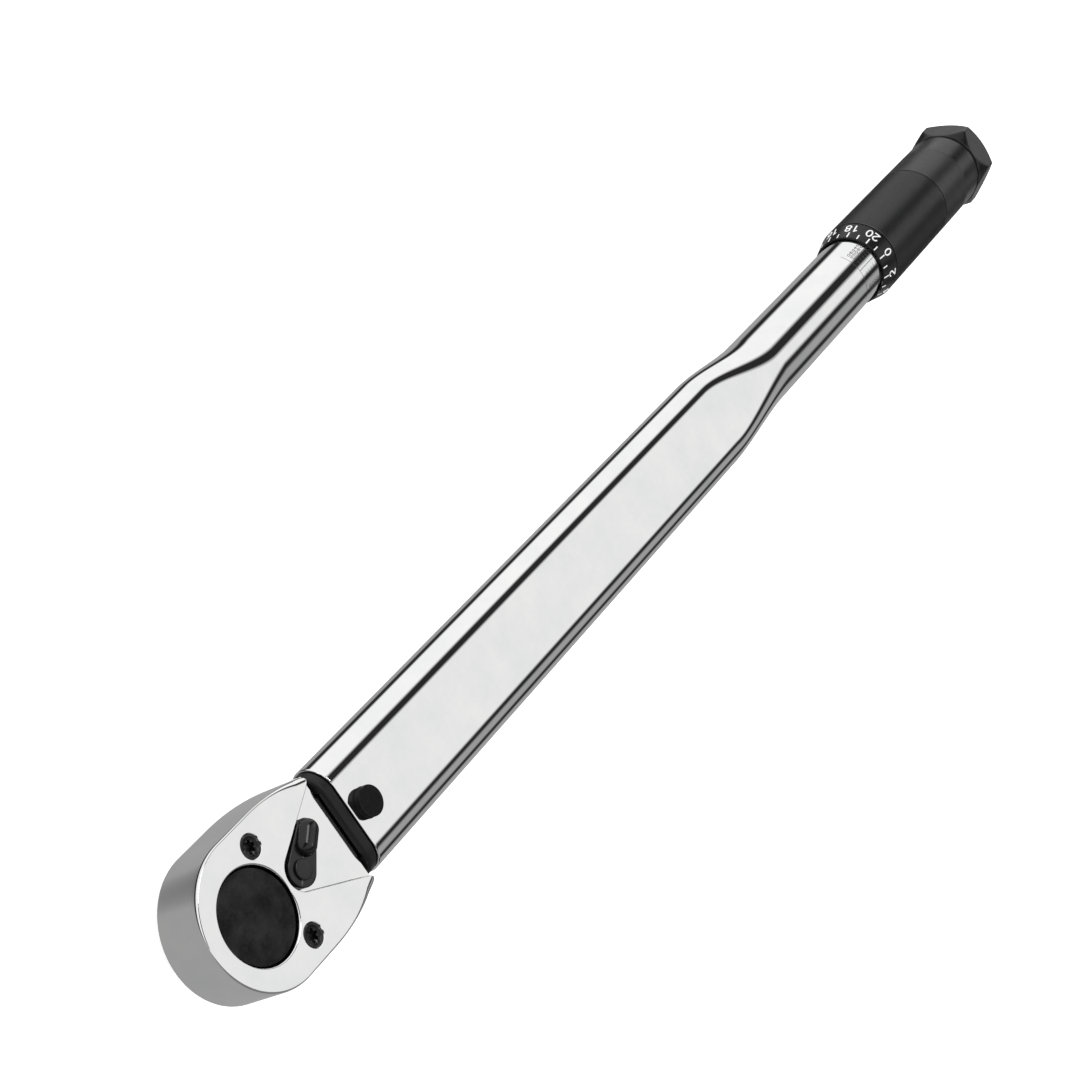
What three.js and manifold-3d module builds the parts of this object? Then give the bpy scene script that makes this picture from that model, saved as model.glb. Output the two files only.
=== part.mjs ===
// A click-type torque wrench with a half-inch square drive, in millimetres.
// +X runs from the drive axis to the lock knob, +Z points out of the lever side of the head,
// and the origin is the centre of the drive square's end face.
// Every shape below is drawn with its zero height in the head's top face, then the group is raised.
import * as THREE from "three";
import { mergeVertices } from "three/addons/utils/BufferGeometryUtils.js";
import Module from "manifold-3d";

const wasm = await Module();
wasm.setup();

// ---------- driving dimensions ----------
const inch = 25.4;
const gap = 0.3; // left between pieces that touch or are cut to fit each other
const runningGap = 0.1; // between a pin and the hole that turns on it

// Tube: a round tube pressed flat over its front part.
const tubeRadius = (9 / 16) * inch;
const tubeWall = 2;
const flatThickness = 16.2;
const tubeAxisZ = -7.5;
const mouthX = 46.9;
const flatEndX = 306;
const roundStartX = 353;
const tubeEndX = 541;

// Ratchet head.
const headThickness = 17.75;
const headRadius = 22.1;
const headArcX = 2.6;
const sideEndX = 16;
const shoulderX = 42.1;
const shoulderHalfWidth = 17.7;
const edgeChamfer = 0.6;
const boreRadius = 13.7;
const boreDepth = 3.2;
const plateThickness = 2.1;

// Thumb lever and the wedge-shaped pocket that it lies in.
const hubX = 20.85;
const pocketHalfAngle = THREE.MathUtils.degToRad(25.6);
const pocketNoseRadius = 5.95;
const pocketDepth = 2.7;
const wingEndX = 40;
const leverAngle = THREE.MathUtils.degToRad(36.5);
const leverTipDistance = 11.5;

// Gear and drive square.
const squareSide = inch / 2;
const squareReach = 32.5;
const toothCount = 36;
const gearRadius = 14.1;
const toothDepth = 0.9;

// Pivot pin and the lever arm that swings on it inside the tube.
const pinX = 53.1;
const pinRadius = 4.65;
const pinStandOut = 2.6;
const armHalfHeight = 5;
const blockFrontX = 146;
const blockRearX = 157;

// Handle.
const threadPitch = inch / 9;
const thimbleStartX = 457.6;
const thimbleEndX = 468.6;
const thimbleFrontRadius = 15.4;
const gripRadius = 17.5;
const gripGrooveX = 533.9;
const gripEndX = 579.2;
const handleTravel = 5 * threadPitch;

// Lock knob: a hexagon with a cone turned on each side.
const knobStartX = 579.8;
const knobFlatStartX = 587.5;
const knobFlatEndX = 592.9;
const knobEndX = 598.3;
const knobCornerRadius = 20.3;

// Spring and screw inside the tube.
const seatX = 353.6;
const springStartX = 360;
const springEndX = 470;
const springTurns = 12;
const springMeanRadius = 8.6;
const springWireRadius = 2.2;
const screwRadius = 8;
const screwStartX = 481;
const lockBallX = 519;

// How finely round surfaces are divided.
const fine = 48;
const medium = 32;
const coarse = 20;
const arcSteps = 10;
const ballAround = 14;
const ballUp = 10;

// ---------- solids ----------
const distinct = (a, b, c) => a !== b && b !== c && c !== a;

function solidOf(geometry) {
  const bare = geometry.index ? geometry.toNonIndexed() : geometry.clone();
  bare.deleteAttribute("normal");
  bare.deleteAttribute("uv");
  const merged = mergeVertices(bare, 1e-4);
  const index = merged.index.array;
  const kept = [];
  for (let i = 0; i < index.length; i += 3) {
    if (distinct(index[i], index[i + 1], index[i + 2])) {
      kept.push(index[i], index[i + 1], index[i + 2]);
    }
  }
  const vertProperties = merged.attributes.position.array;
  const build = (triVerts) =>
    new wasm.Manifold(new wasm.Mesh({ numProp: 3, vertProperties, triVerts }));
  const made = build(new Uint32Array(kept));
  return made.volume() < 0 ? build(new Uint32Array(kept.reverse())) : made;
}

function geometryOf(solid) {
  const mesh = solid.getMesh();
  const geometry = new THREE.BufferGeometry();
  geometry.setAttribute("position", new THREE.BufferAttribute(mesh.vertProperties, 3));
  geometry.setIndex(new THREE.BufferAttribute(mesh.triVerts, 1));
  geometry.computeVertexNormals();
  return geometry;
}

// The first geometry joined to the others.
function join(first, ...others) {
  return geometryOf(others.reduce((sum, next) => sum.add(solidOf(next)), solidOf(first)));
}

// The first geometry with the others cut out of it.
function cut(first, ...tools) {
  return geometryOf(tools.reduce((left, tool) => left.subtract(solidOf(tool)), solidOf(first)));
}

function overlapOf(first, second) {
  return geometryOf(solidOf(first).intersect(solidOf(second)));
}

// ---------- simple shapes ----------
// A body turned about the tube's axis, from [x, radius] points.
function turnedX(points, segments = medium, closed = false) {
  const profile = points.map(([x, radius]) => new THREE.Vector2(radius, x));
  if (closed) profile.push(profile[0].clone());
  const body = new THREE.LatheGeometry(profile, segments, Math.PI / segments);
  return body.rotateZ(-Math.PI / 2).translate(0, 0, tubeAxisZ);
}

// A ring about the tube's axis.
function ringX(x0, x1, innerRadius, outerRadius, segments = medium) {
  const corners = [
    [x0, innerRadius],
    [x0, outerRadius],
    [x1, outerRadius],
    [x1, innerRadius],
  ];
  return turnedX(corners, segments, true);
}

// A solid bar about the tube's axis.
function barX(x0, x1, radius, segments = medium) {
  const points = [
    [x0, 0],
    [x0, radius],
    [x1, radius],
    [x1, 0],
  ];
  return turnedX(points, segments);
}

// A body turned about a vertical axis at (x, y), from [z, radius] points.
function turnedZ(x, y, points, segments = medium) {
  const profile = points.map(([z, radius]) => new THREE.Vector2(radius, z));
  const body = new THREE.LatheGeometry(profile, segments, Math.PI / segments);
  return body.rotateX(Math.PI / 2).translate(x, y, 0);
}

function barZ(x, y, z0, z1, radius, segments = medium) {
  const points = [
    [z0, 0],
    [z0, radius],
    [z1, radius],
    [z1, 0],
  ];
  return turnedZ(x, y, points, segments);
}

function box(x0, x1, y0, y1, z0, z1) {
  const body = new THREE.BoxGeometry(x1 - x0, y1 - y0, z1 - z0);
  return body.translate((x0 + x1) / 2, (y0 + y1) / 2, (z0 + z1) / 2);
}

// A flat shape raised from z0 to z1, with an optional chamfer round both edges.
function prism(shape, z0, z1, chamfer = 0) {
  const body = new THREE.ExtrudeGeometry(shape, {
    depth: z1 - z0 - 2 * chamfer,
    curveSegments: arcSteps,
    bevelEnabled: chamfer > 0,
    bevelThickness: chamfer,
    bevelSize: chamfer,
    bevelOffset: -chamfer,
    bevelSegments: 1,
  });
  return body.translate(0, 0, z0 + chamfer);
}

// The outline round two circles on a line, the first at the origin and the second at (length, 0).
function twoLobeShape(firstRadius, length, secondRadius, waistHalfWidth = null) {
  const shape = new THREE.Shape();
  if (waistHalfWidth === null) {
    const lean = Math.acos((firstRadius - secondRadius) / length);
    shape.absarc(0, 0, firstRadius, lean, 2 * Math.PI - lean, false);
    shape.absarc(length, 0, secondRadius, -lean, lean, false);
    return shape;
  }
  const firstTurn = Math.asin(waistHalfWidth / firstRadius);
  const secondTurn = Math.asin(waistHalfWidth / secondRadius);
  shape.absarc(0, 0, firstRadius, firstTurn, 2 * Math.PI - firstTurn, false);
  shape.absarc(length, 0, secondRadius, Math.PI + secondTurn, 3 * Math.PI - secondTurn, false);
  return shape;
}

// A close-coiled wire round the X axis, drawn as one body.
class Coil extends THREE.Curve {
  constructor(length, radius, turns) {
    super();
    this.length = length;
    this.radius = radius;
    this.turns = turns;
  }
  getPoint(t, target = new THREE.Vector3()) {
    const angle = 2 * Math.PI * this.turns * t;
    const along = this.length * t;
    return target.set(along, this.radius * Math.cos(angle), this.radius * Math.sin(angle));
  }
}

function coilSpring(x0, x1, meanRadius, wireRadius, turns, sides, stepsPerTurn) {
  const section = new THREE.Shape();
  for (let i = 0; i < sides; i++) {
    const angle = (2 * Math.PI * i) / sides;
    const point = [wireRadius * Math.cos(angle), wireRadius * Math.sin(angle)];
    if (i === 0) section.moveTo(...point);
    else section.lineTo(...point);
  }
  const path = new Coil(x1 - x0 - 2 * wireRadius, meanRadius, turns);
  const steps = turns * stepsPerTurn;
  const wire = new THREE.ExtrudeGeometry(section, { steps, extrudePath: path, bevelEnabled: false });
  return wire.translate(x0 + wireRadius, 0, 0);
}

// ---------- tube ----------
// Presses a round tube between flat dies: the perimeter stays the same, so each point keeps its
// share of the way round while the circle turns into a slot shape with straight top and bottom.
function pressFlat(geometry) {
  const position = geometry.attributes.position;
  const fullStraight = (Math.PI / 2) * (tubeRadius - flatThickness / 2);
  for (let i = 0; i < position.count; i++) {
    const x = position.getX(i);
    const y = position.getY(i);
    const z = position.getZ(i) - tubeAxisZ;
    const radius = Math.hypot(y, z);
    const pressed = 1 - THREE.MathUtils.smoothstep(x, flatEndX, roundStartX);
    const halfStraight = fullStraight * pressed;
    const endRadius = radius - (2 * halfStraight) / Math.PI;
    const [newY, newZ] = slotPoint(Math.atan2(z, y) * radius, halfStraight, endRadius);
    position.setXYZ(i, x, newY, newZ + tubeAxisZ);
  }
  return geometry;
}

// The point a distance round a slot shape from its +Y tip.
function slotPoint(distance, halfStraight, endRadius) {
  const side = Math.sign(distance) || 1;
  const reach = Math.abs(distance);
  const quarter = (Math.PI / 2) * endRadius;
  if (reach <= quarter) {
    const turn = reach / endRadius;
    return [halfStraight + endRadius * Math.cos(turn), side * endRadius * Math.sin(turn)];
  }
  if (reach <= quarter + 2 * halfStraight) {
    return [halfStraight - (reach - quarter), side * endRadius];
  }
  const turn = Math.PI / 2 + (reach - quarter - 2 * halfStraight) / endRadius;
  return [-halfStraight + endRadius * Math.cos(turn), side * endRadius * Math.sin(turn)];
}

// A shape like the tube's flat section, with the given half sizes, standing along X.
function slotBar(x0, x1, halfWidth, halfHeight) {
  const straight = halfWidth - halfHeight;
  const shape = new THREE.Shape();
  shape.absarc(straight, 0, halfHeight, -Math.PI / 2, Math.PI / 2, false);
  shape.absarc(-straight, 0, halfHeight, Math.PI / 2, (3 * Math.PI) / 2, false);
  const body = new THREE.ExtrudeGeometry(shape, {
    depth: x1 - x0,
    curveSegments: arcSteps,
    bevelEnabled: false,
  });
  return body
    .rotateX(Math.PI / 2)
    .rotateZ(Math.PI / 2)
    .translate(x0, 0, tubeAxisZ);
}

const nutPinX = 504;
const nutPinRadius = 1.5;

function tubeBody() {
  const lip = 0.5;
  const innerRadius = tubeRadius - tubeWall;
  const transitionSteps = 6;
  const stations = [flatEndX];
  for (let i = 1; i <= transitionSteps; i++) {
    stations.push(flatEndX + ((roundStartX - flatEndX) * i) / transitionSteps);
  }
  const outer = stations.map((x) => [x, tubeRadius]);
  const inner = stations.map((x) => [x, innerRadius]).reverse();
  const profile = [
    [mouthX, innerRadius + lip],
    [mouthX, tubeRadius - lip],
    [mouthX + lip, tubeRadius],
    ...outer,
    [tubeEndX - lip, tubeRadius],
    [tubeEndX, tubeRadius - lip],
    [tubeEndX, innerRadius],
    ...inner,
    [mouthX + lip, innerRadius],
  ];
  const pressed = pressFlat(turnedX(profile, fine, true));
  const pinHole = barZ(pinX, 0, -2 * headThickness, headThickness, pinRadius + gap / 2);
  const nutPinHoles = new THREE.CylinderGeometry(
    nutPinRadius + gap / 2,
    nutPinRadius + gap / 2,
    3 * tubeRadius,
    coarse,
  ).translate(nutPinX, 0, tubeAxisZ);
  return cut(pressed, pinHole, nutPinHoles);
}

function pivotPin() {
  const top = tubeAxisZ + flatThickness / 2 + pinStandOut;
  const bottom = tubeAxisZ - flatThickness / 2 - pinStandOut;
  const chamfer = 0.3;
  const profile = [
    [bottom, 0],
    [bottom, pinRadius - chamfer],
    [bottom + chamfer, pinRadius],
    [top - chamfer, pinRadius],
    [top, pinRadius - chamfer],
    [top, 0],
  ];
  return turnedZ(pinX, 0, profile);
}

// ---------- ratchet head ----------
function headShape() {
  const drop = headRadius - shoulderHalfWidth;
  const run = shoulderX - sideEndX;
  const flankRadius = (run * run + drop * drop) / (2 * drop);
  const flankAngle = Math.asin(run / flankRadius);
  const flankY = headRadius - flankRadius;
  const shape = new THREE.Shape();
  shape.moveTo(shoulderX, -shoulderHalfWidth);
  shape.lineTo(shoulderX, shoulderHalfWidth);
  shape.absarc(sideEndX, flankY, flankRadius, Math.PI / 2 - flankAngle, Math.PI / 2, false);
  shape.lineTo(headArcX, headRadius);
  shape.absarc(headArcX, 0, headRadius, Math.PI / 2, (3 * Math.PI) / 2, false);
  shape.lineTo(sideEndX, -headRadius);
  shape.absarc(sideEndX, -flankY, flankRadius, -Math.PI / 2, flankAngle - Math.PI / 2, false);
  return shape;
}

// The wedge cut for the lever: two straight walls from a round nose, open at the shoulder.
function pocketShape() {
  const farX = shoulderX + 10;
  const apexX = hubX - pocketNoseRadius / Math.sin(pocketHalfAngle);
  const farY = (farX - apexX) * Math.tan(pocketHalfAngle);
  const noseTurn = Math.PI / 2 + pocketHalfAngle;
  const shape = new THREE.Shape();
  shape.moveTo(farX, -farY);
  shape.lineTo(farX, farY);
  shape.absarc(hubX, 0, pocketNoseRadius, noseTurn, 2 * Math.PI - noseTurn, false);
  return shape;
}

const plateRadius = 18.9;
const plateArcX = 0.8;
const plateTipX = 24;
const plateTipRadius = 8.5;

function plateShape(margin) {
  const shape = twoLobeShape(plateRadius + margin, plateTipX - plateArcX, plateTipRadius + margin);
  return shape;
}

const screwSpots = [
  ["cover_screw_left", 11.2, 14.9],
  ["cover_screw_right", 11.2, -14.9],
];
const screwHeadRadius = 3.4;
const screwShankRadius = 1.6;
const screwHeadDepth = 2.3;
const screwSink = 0.3;

function screwHole(x, y) {
  const shank = screwShankRadius + 0.25;
  const headHole = screwHeadRadius + 0.15;
  const profile = [
    [-headThickness, 0],
    [-headThickness, shank],
    [-screwSink - screwHeadDepth - 0.2, shank],
    [-screwSink - 0.2, headHole],
    [1, headHole],
    [1, 0],
  ];
  return turnedZ(x, y, profile, coarse);
}

// The bar that runs from the head into the tube, with a round socket for the tilt block.
function leverArm() {
  const rootHalfWidth = 10.5;
  const endHalfWidth = 6.5;
  const taperX = pinX + 14;
  const endX = blockFrontX - 1;
  const shape = new THREE.Shape();
  shape.moveTo(shoulderX - 4, -rootHalfWidth);
  shape.lineTo(taperX, -rootHalfWidth);
  shape.lineTo(endX - 8, -endHalfWidth);
  shape.lineTo(endX, -endHalfWidth);
  shape.lineTo(endX, endHalfWidth);
  shape.lineTo(endX - 8, endHalfWidth);
  shape.lineTo(taperX, rootHalfWidth);
  shape.lineTo(shoulderX - 4, rootHalfWidth);
  return prism(shape, tubeAxisZ - armHalfHeight, tubeAxisZ + armHalfHeight, edgeChamfer);
}

const frontLobeRadius = 3.5;
const rearLobeRadius = 4.5;
const endFlatDepth = 0.3;
const pawlTop = -4.5;
const pawlBottom = -14.8;
const stemRadius = 3;
const plungerReach = 4.4;

function ratchetHead() {
  const body = prism(headShape(), -headThickness, 0, edgeChamfer);
  const plateFloor = -headThickness + plateThickness + gap;
  const shortWings = box(wingEndX, shoulderX + 1, -headRadius, headRadius, -pocketDepth, 1);
  const pinHole = barZ(pinX, 0, -headThickness, headThickness, pinRadius + runningGap);
  const rimCut = 0.4;
  const bore = turnedZ(0, 0, [
    [-boreDepth - 1, 0],
    [-boreDepth - 1, boreRadius],
    [-rimCut, boreRadius],
    [1 - rimCut, boreRadius + 1],
    [1 - rimCut, 0],
  ], fine);
  const recess = prism(plateShape(0.25), -headThickness - 1, plateFloor);
  return cut(
    join(body, leverArm()),
    prism(pocketShape(), -pocketDepth, 1),
    shortWings,
    bore,
    barZ(0, 0, plateFloor - 1, -boreDepth, gearRadius + gap, fine),
    recess.translate(plateArcX, 0, 0),
    box(12, 18.3, -8.8, 8.8, pawlBottom - 2, pawlTop),
    barZ(hubX, 0, pawlBottom - 2, pawlTop, plungerReach + 0.5, coarse),
    barZ(hubX, 0, pawlTop - 1, 0, stemRadius + 0.2, coarse),
    ...screwSpots.map(([, x, y]) => screwHole(x, y)),
    pinHole,
    blockSocket(blockFrontX, frontLobeRadius, -1),
  );
}

function coverPlate() {
  const bottom = -headThickness + 0.1;
  const blank = prism(plateShape(0), bottom, bottom + plateThickness).translate(plateArcX, 0, 0);
  const journalHole = barZ(0, 0, -2 * headThickness, 0, 10.5);
  const threads = screwSpots.map(([, x, y]) =>
    barZ(x, y, -2 * headThickness, 0, screwShankRadius + 0.15, coarse),
  );
  return cut(blank, journalHole, ...threads);
}

function sixLobeRecess(x, y) {
  const shape = new THREE.Shape();
  const points = 24;
  for (let i = 0; i < points; i++) {
    const angle = (2 * Math.PI * i) / points;
    const radius = 1.45 + 0.32 * Math.cos(6 * angle);
    const point = [radius * Math.cos(angle), radius * Math.sin(angle)];
    if (i === 0) shape.moveTo(...point);
    else shape.lineTo(...point);
  }
  return prism(shape, -screwSink - 1.5, 1).translate(x, y, 0);
}

function coverScrew(x, y) {
  const profile = [
    [-headThickness + 0.4, 0],
    [-headThickness + 0.4, screwShankRadius],
    [-screwSink - screwHeadDepth, screwShankRadius],
    [-screwSink - 0.35, screwHeadRadius],
    [-screwSink, screwHeadRadius],
    [-screwSink, 0],
  ];
  return cut(turnedZ(x, y, profile, coarse), sixLobeRecess(x, y));
}

// ---------- gear, drive square and detent ----------
const squareTop = -headThickness - 0.15;
const squareEnd = -squareReach;
const ballRadius = 2.4;
const ballStandOut = 0.9;
const ballZ = squareEnd + 7.5;

function gearShape() {
  const shape = new THREE.Shape();
  const pitch = (2 * Math.PI) / toothCount;
  const root = gearRadius - toothDepth;
  for (let i = 0; i < toothCount; i++) {
    const corners = [
      [root, -0.5],
      [root, -0.28],
      [gearRadius, -0.1],
      [gearRadius, 0.1],
      [root, 0.28],
    ];
    corners.forEach(([radius, share], k) => {
      const angle = pitch * (i + share);
      const point = [radius * Math.cos(angle), radius * Math.sin(angle)];
      if (i === 0 && k === 0) shape.moveTo(...point);
      else shape.lineTo(...point);
    });
  }
  return shape;
}

function driveGear() {
  const discTop = -1;
  const teethTop = -3.6;
  const teethBottom = -15;
  const discRadius = 13.15;
  const half = squareSide / 2;
  const disc = turnedZ(0, 0, [
    [teethTop - 1, 0],
    [teethTop - 1, discRadius],
    [discTop - 0.3, discRadius],
    [discTop, discRadius - 0.3],
    [discTop, 0],
  ], fine);
  const square = new THREE.Shape();
  const corner = 0.8;
  square.moveTo(half, corner - half);
  square.lineTo(half, half - corner);
  square.lineTo(half - corner, half);
  square.lineTo(corner - half, half);
  square.lineTo(-half, half - corner);
  square.lineTo(-half, corner - half);
  square.lineTo(corner - half, -half);
  square.lineTo(half - corner, -half);
  const ballBore = new THREE.CylinderGeometry(ballRadius + 0.1, ballRadius + 0.1, 12, coarse)
    .rotateZ(Math.PI / 2)
    .translate(-4, 0, ballZ);
  return cut(
    join(
      disc,
      prism(gearShape(), teethBottom, teethTop),
      barZ(0, 0, squareTop, teethBottom + 1, 10.2),
      prism(square, squareEnd, squareTop + 1, 0.7),
    ),
    ballBore,
  );
}

function detentBall() {
  const x = -squareSide / 2 - ballStandOut + ballRadius;
  return new THREE.SphereGeometry(ballRadius, ballAround, ballUp).translate(x, 0, ballZ);
}

function detentSpring() {
  const start = -squareSide / 2 - ballStandOut + 2 * ballRadius + 0.15;
  return coilSpring(start, 1.8, 1.5, 0.35, 5, 5, 8).translate(0, 0, ballZ);
}

// ---------- pawl and reversing lever ----------
const pawlX = 15.6;

// A crescent between the gear and the lever's stem, standing just clear of the tooth tips.
function pawl() {
  const faceRadius = gearRadius + 0.35;
  const halfSpan = THREE.MathUtils.degToRad(26);
  const shape = new THREE.Shape();
  shape.absarc(0, 0, faceRadius, -halfSpan, halfSpan, false);
  shape.lineTo(16.9, 7.2);
  shape.lineTo(17.9, 2.4);
  shape.lineTo(17.9, -2.4);
  shape.lineTo(16.9, -7.2);
  const blank = prism(shape, pawlBottom + 0.2, pawlTop - 0.2);
  const backRadius = plungerReach + 0.2;
  const back = barZ(hubX, 0, -headThickness, 0, backRadius, coarse);
  return cut(blank, back).translate(-pawlX, 0, 0);
}

const leverTop = 0.3;
const ridgeHeight = 3;
const plungerZ = -9.5;
const plungerRadius = 1.05;

// Drawn with the hub at the origin and the thumb piece along +X.
function reverseLever() {
  const hubRadius = 4.95;
  const tipRadius = 3.5;
  const ridgeRadius = 3.2;
  const ridgeStart = 7;
  const plate = prism(
    twoLobeShape(hubRadius, leverTipDistance, tipRadius), -pocketDepth + gap, leverTop, 0.3,
  );
  const ridge = prism(
    twoLobeShape(ridgeRadius, leverTipDistance - ridgeStart, ridgeRadius),
    leverTop - 1, leverTop + ridgeHeight, 0.8,
  );
  const stem = barZ(0, 0, pawlBottom + 1, -pocketDepth + 1, stemRadius, coarse);
  const plungerBore = new THREE.CylinderGeometry(plungerRadius + 0.1, plungerRadius + 0.1, 5.2, 16)
    .rotateZ(Math.PI / 2)
    .translate(-2, 0, plungerZ);
  return cut(
    join(
      plate,
      ridge.translate(ridgeStart, 0, 0),
      barZ(0, 0, leverTop - 1, leverTop + 0.85, 3, coarse),
      stem,
    ),
    plungerBore,
  );
}

function leverPlunger() {
  const tail = -1.9;
  return new THREE.CylinderGeometry(plungerRadius, plungerRadius, plungerReach + tail, 16)
    .rotateZ(Math.PI / 2)
    .translate((tail - plungerReach) / 2, 0, plungerZ);
}

function plungerSpring() {
  return coilSpring(-1.75, 0.45, 0.65, 0.25, 3, 5, 8).translate(0, 0, plungerZ);
}

// A collar fixed in the tube's mouth, with a flange over the tube's end and room for the arm to swing.
function dustSeal() {
  const flangeStartX = shoulderX + 0.9;
  const flangeEndX = mouthX - gap;
  const spigotEndX = pinX - pinRadius - gap;
  const flange = slotBar(flangeStartX, flangeEndX, 17.2, 7.6);
  const spigot = slotBar(flangeEndX - 0.5, spigotEndX, 15.4, 5.75);
  const armHole = box(
    flangeStartX - 1, spigotEndX + 1, -11.1, 11.1, tubeAxisZ - 5.3, tubeAxisZ + 5.3,
  );
  return cut(join(flange, spigot), armHole);
}

// ---------- tilt block, push rod and spring ----------
// Drawn with its rear end's centre at the origin. A narrow flat on each round end seats it square.
function tiltBlock() {
  const halfHeight = armHalfHeight - gap;
  const length = blockRearX - blockFrontX;
  const shape = twoLobeShape(rearLobeRadius, length, frontLobeRadius, 2.8);
  const z0 = tubeAxisZ - halfHeight;
  const z1 = tubeAxisZ + halfHeight;
  const between = box(
    endFlatDepth - length - frontLobeRadius, rearLobeRadius - endFlatDepth, -10, 10, z0, z1,
  );
  return overlapOf(prism(shape, z0, z1).rotateZ(Math.PI), between);
}

// The round socket, with a flat floor, that one end of the tilt block sits in.
function blockSocket(x, lobeRadius, floorSide) {
  const round = barZ(x, 0, -headThickness, 0, lobeRadius + gap, coarse);
  const open = 2 * lobeRadius;
  const x0 = floorSide < 0 ? x - lobeRadius : x - open;
  const x1 = floorSide < 0 ? x + open : x + lobeRadius;
  return overlapOf(round, box(x0, x1, -open, open, -headThickness - 1, 1));
}

const rodRadius = 4.5;
const rodEndX = seatX + 11;

function pushRod() {
  const headX0 = blockRearX + 1;
  const headX1 = blockRearX + 15;
  const headHalfWidth = 9;
  const collarRadius = 7.5;
  const collarLength = 5;
  const head = box(
    headX0, headX1, -headHalfWidth, headHalfWidth,
    tubeAxisZ - armHalfHeight, tubeAxisZ + armHalfHeight,
  );
  const shaft = turnedX([
    [headX1 - 2, 0],
    [headX1 - 2, rodRadius],
    [seatX - gap - collarLength, rodRadius],
    [seatX - gap - collarLength, collarRadius],
    [seatX - gap, collarRadius],
    [seatX - gap, rodRadius],
    [rodEndX, rodRadius],
    [rodEndX, 0],
  ], coarse);
  return cut(join(head, shaft), blockSocket(blockRearX, rearLobeRadius, 1));
}

function rodGuide() {
  const guideX = 292;
  const guideLength = 10;
  const half = 5.6;
  const blank = box(
    guideX, guideX + guideLength, -11, 11, tubeAxisZ - half, tubeAxisZ + half,
  );
  return cut(blank, barX(guideX - 1, guideX + guideLength + 1, rodRadius + runningGap, coarse));
}

const seatRadius = 11.3;

function frontSpringSeat() {
  const seatEnd = springStartX - gap;
  const spigotEnd = seatEnd + 4;
  const innerRadius = rodRadius + gap;
  return turnedX([
    [seatX, innerRadius],
    [seatX, seatRadius],
    [seatEnd, seatRadius],
    [seatEnd, 6],
    [spigotEnd, 6],
    [spigotEnd, innerRadius],
  ], coarse, true);
}

function mainSpring() {
  const wire = coilSpring(
    springStartX, springEndX, springMeanRadius, springWireRadius, springTurns, 5, 12,
  );
  return wire.translate(0, 0, tubeAxisZ);
}

const thrustBallRadius = 4.5;
const thrustBallX = screwStartX - 2.1;

function rearSpringSeat() {
  const seatStart = springEndX + gap;
  const seatEnd = seatStart + 7;
  const body = turnedX([
    [seatStart - 6, 0],
    [seatStart - 6, 5.6],
    [seatStart, 5.6],
    [seatStart, seatRadius],
    [seatEnd, seatRadius],
    [seatEnd, 0],
  ], coarse);
  return cut(body, ballPocket());
}

function ballPocket() {
  const pocket = new THREE.SphereGeometry(thrustBallRadius + gap, ballAround, ballUp);
  return pocket.translate(thrustBallX, 0, tubeAxisZ);
}

function thrustBall() {
  const ball = new THREE.SphereGeometry(thrustBallRadius, ballAround, ballUp);
  return ball.translate(thrustBallX, 0, tubeAxisZ);
}

// ---------- adjusting screw and its nut ----------
const sleeveWebX = 558;
const counterboreX = 570;
const screwEndX = 577;
const studEndX = 563;
const lockRodRadius = 3.3;
const lockBallRadius = 2.4;
const nutInnerRadius = screwRadius + 0.15;
const nutStartX = 500;

function adjustingScrew() {
  const shaft = barX(screwStartX, screwEndX, screwRadius);
  const stopGroove = ringX(483.2, 485.4, screwRadius - 0.7, screwRadius + 2);
  const crossHole = new THREE.CylinderGeometry(
    lockBallRadius + 0.15,
    lockBallRadius + 0.15,
    3 * screwRadius,
    coarse,
  ).translate(lockBallX, 0, tubeAxisZ);
  return cut(
    shaft,
    ballPocket(),
    stopGroove,
    barX(505, screwEndX + 1, lockRodRadius + gap, coarse),
    barX(studEndX - 3, screwEndX + 1, 5.2, coarse),
    crossHole,
  );
}

// The open spring ring that stops the screw when the handle is backed right off.
function stopRing() {
  const ring = ringX(483.5, 485.1, screwRadius - 0.4, 10.4);
  return cut(ring, box(480, 490, 0, 12, tubeAxisZ - 2, tubeAxisZ + 2));
}

function tubeNut() {
  const outerRadius = tubeRadius - tubeWall - 0.15;
  const ring = ringX(nutStartX, tubeEndX, nutInnerRadius, outerRadius);
  const pinHoles = new THREE.CylinderGeometry(
    nutPinRadius + gap / 2,
    nutPinRadius + gap / 2,
    3 * tubeRadius,
    coarse,
  ).translate(nutPinX, 0, tubeAxisZ);
  return cut(ring, pinHoles);
}

function nutPin(side) {
  const inner = screwRadius + 1;
  const outer = tubeRadius - 0.1;
  return new THREE.CylinderGeometry(nutPinRadius, nutPinRadius, outer - inner, coarse).translate(
    nutPinX,
    (side * (inner + outer)) / 2,
    tubeAxisZ,
  );
}

// ---------- handle ----------
const sleeveBore = tubeRadius + gap;

function scaleThimble() {
  return turnedX([
    [thimbleStartX, sleeveBore],
    [thimbleStartX, thimbleFrontRadius],
    [thimbleEndX - 0.6, gripRadius],
    [thimbleEndX, gripRadius - 0.4],
    [thimbleEndX, sleeveBore],
  ], fine, true);
}

function gripSleeve() {
  const start = thimbleEndX + gap;
  const grooveWidth = 0.9;
  const grooveDepth = 0.45;
  const webBore = screwRadius + gap;
  const counterboreRadius = 12.5;
  return turnedX([
    [start, sleeveBore],
    [start, gripRadius - 0.5],
    [start + 0.5, gripRadius],
    [gripGrooveX - grooveWidth / 2, gripRadius],
    [gripGrooveX, gripRadius - grooveDepth],
    [gripGrooveX + grooveWidth / 2, gripRadius],
    [gripEndX - 0.5, gripRadius],
    [gripEndX, gripRadius - 0.5],
    [gripEndX, counterboreRadius],
    [counterboreX, counterboreRadius],
    [counterboreX, webBore],
    [sleeveWebX, webBore],
    [sleeveWebX, sleeveBore],
  ], fine, true);
}

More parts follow.
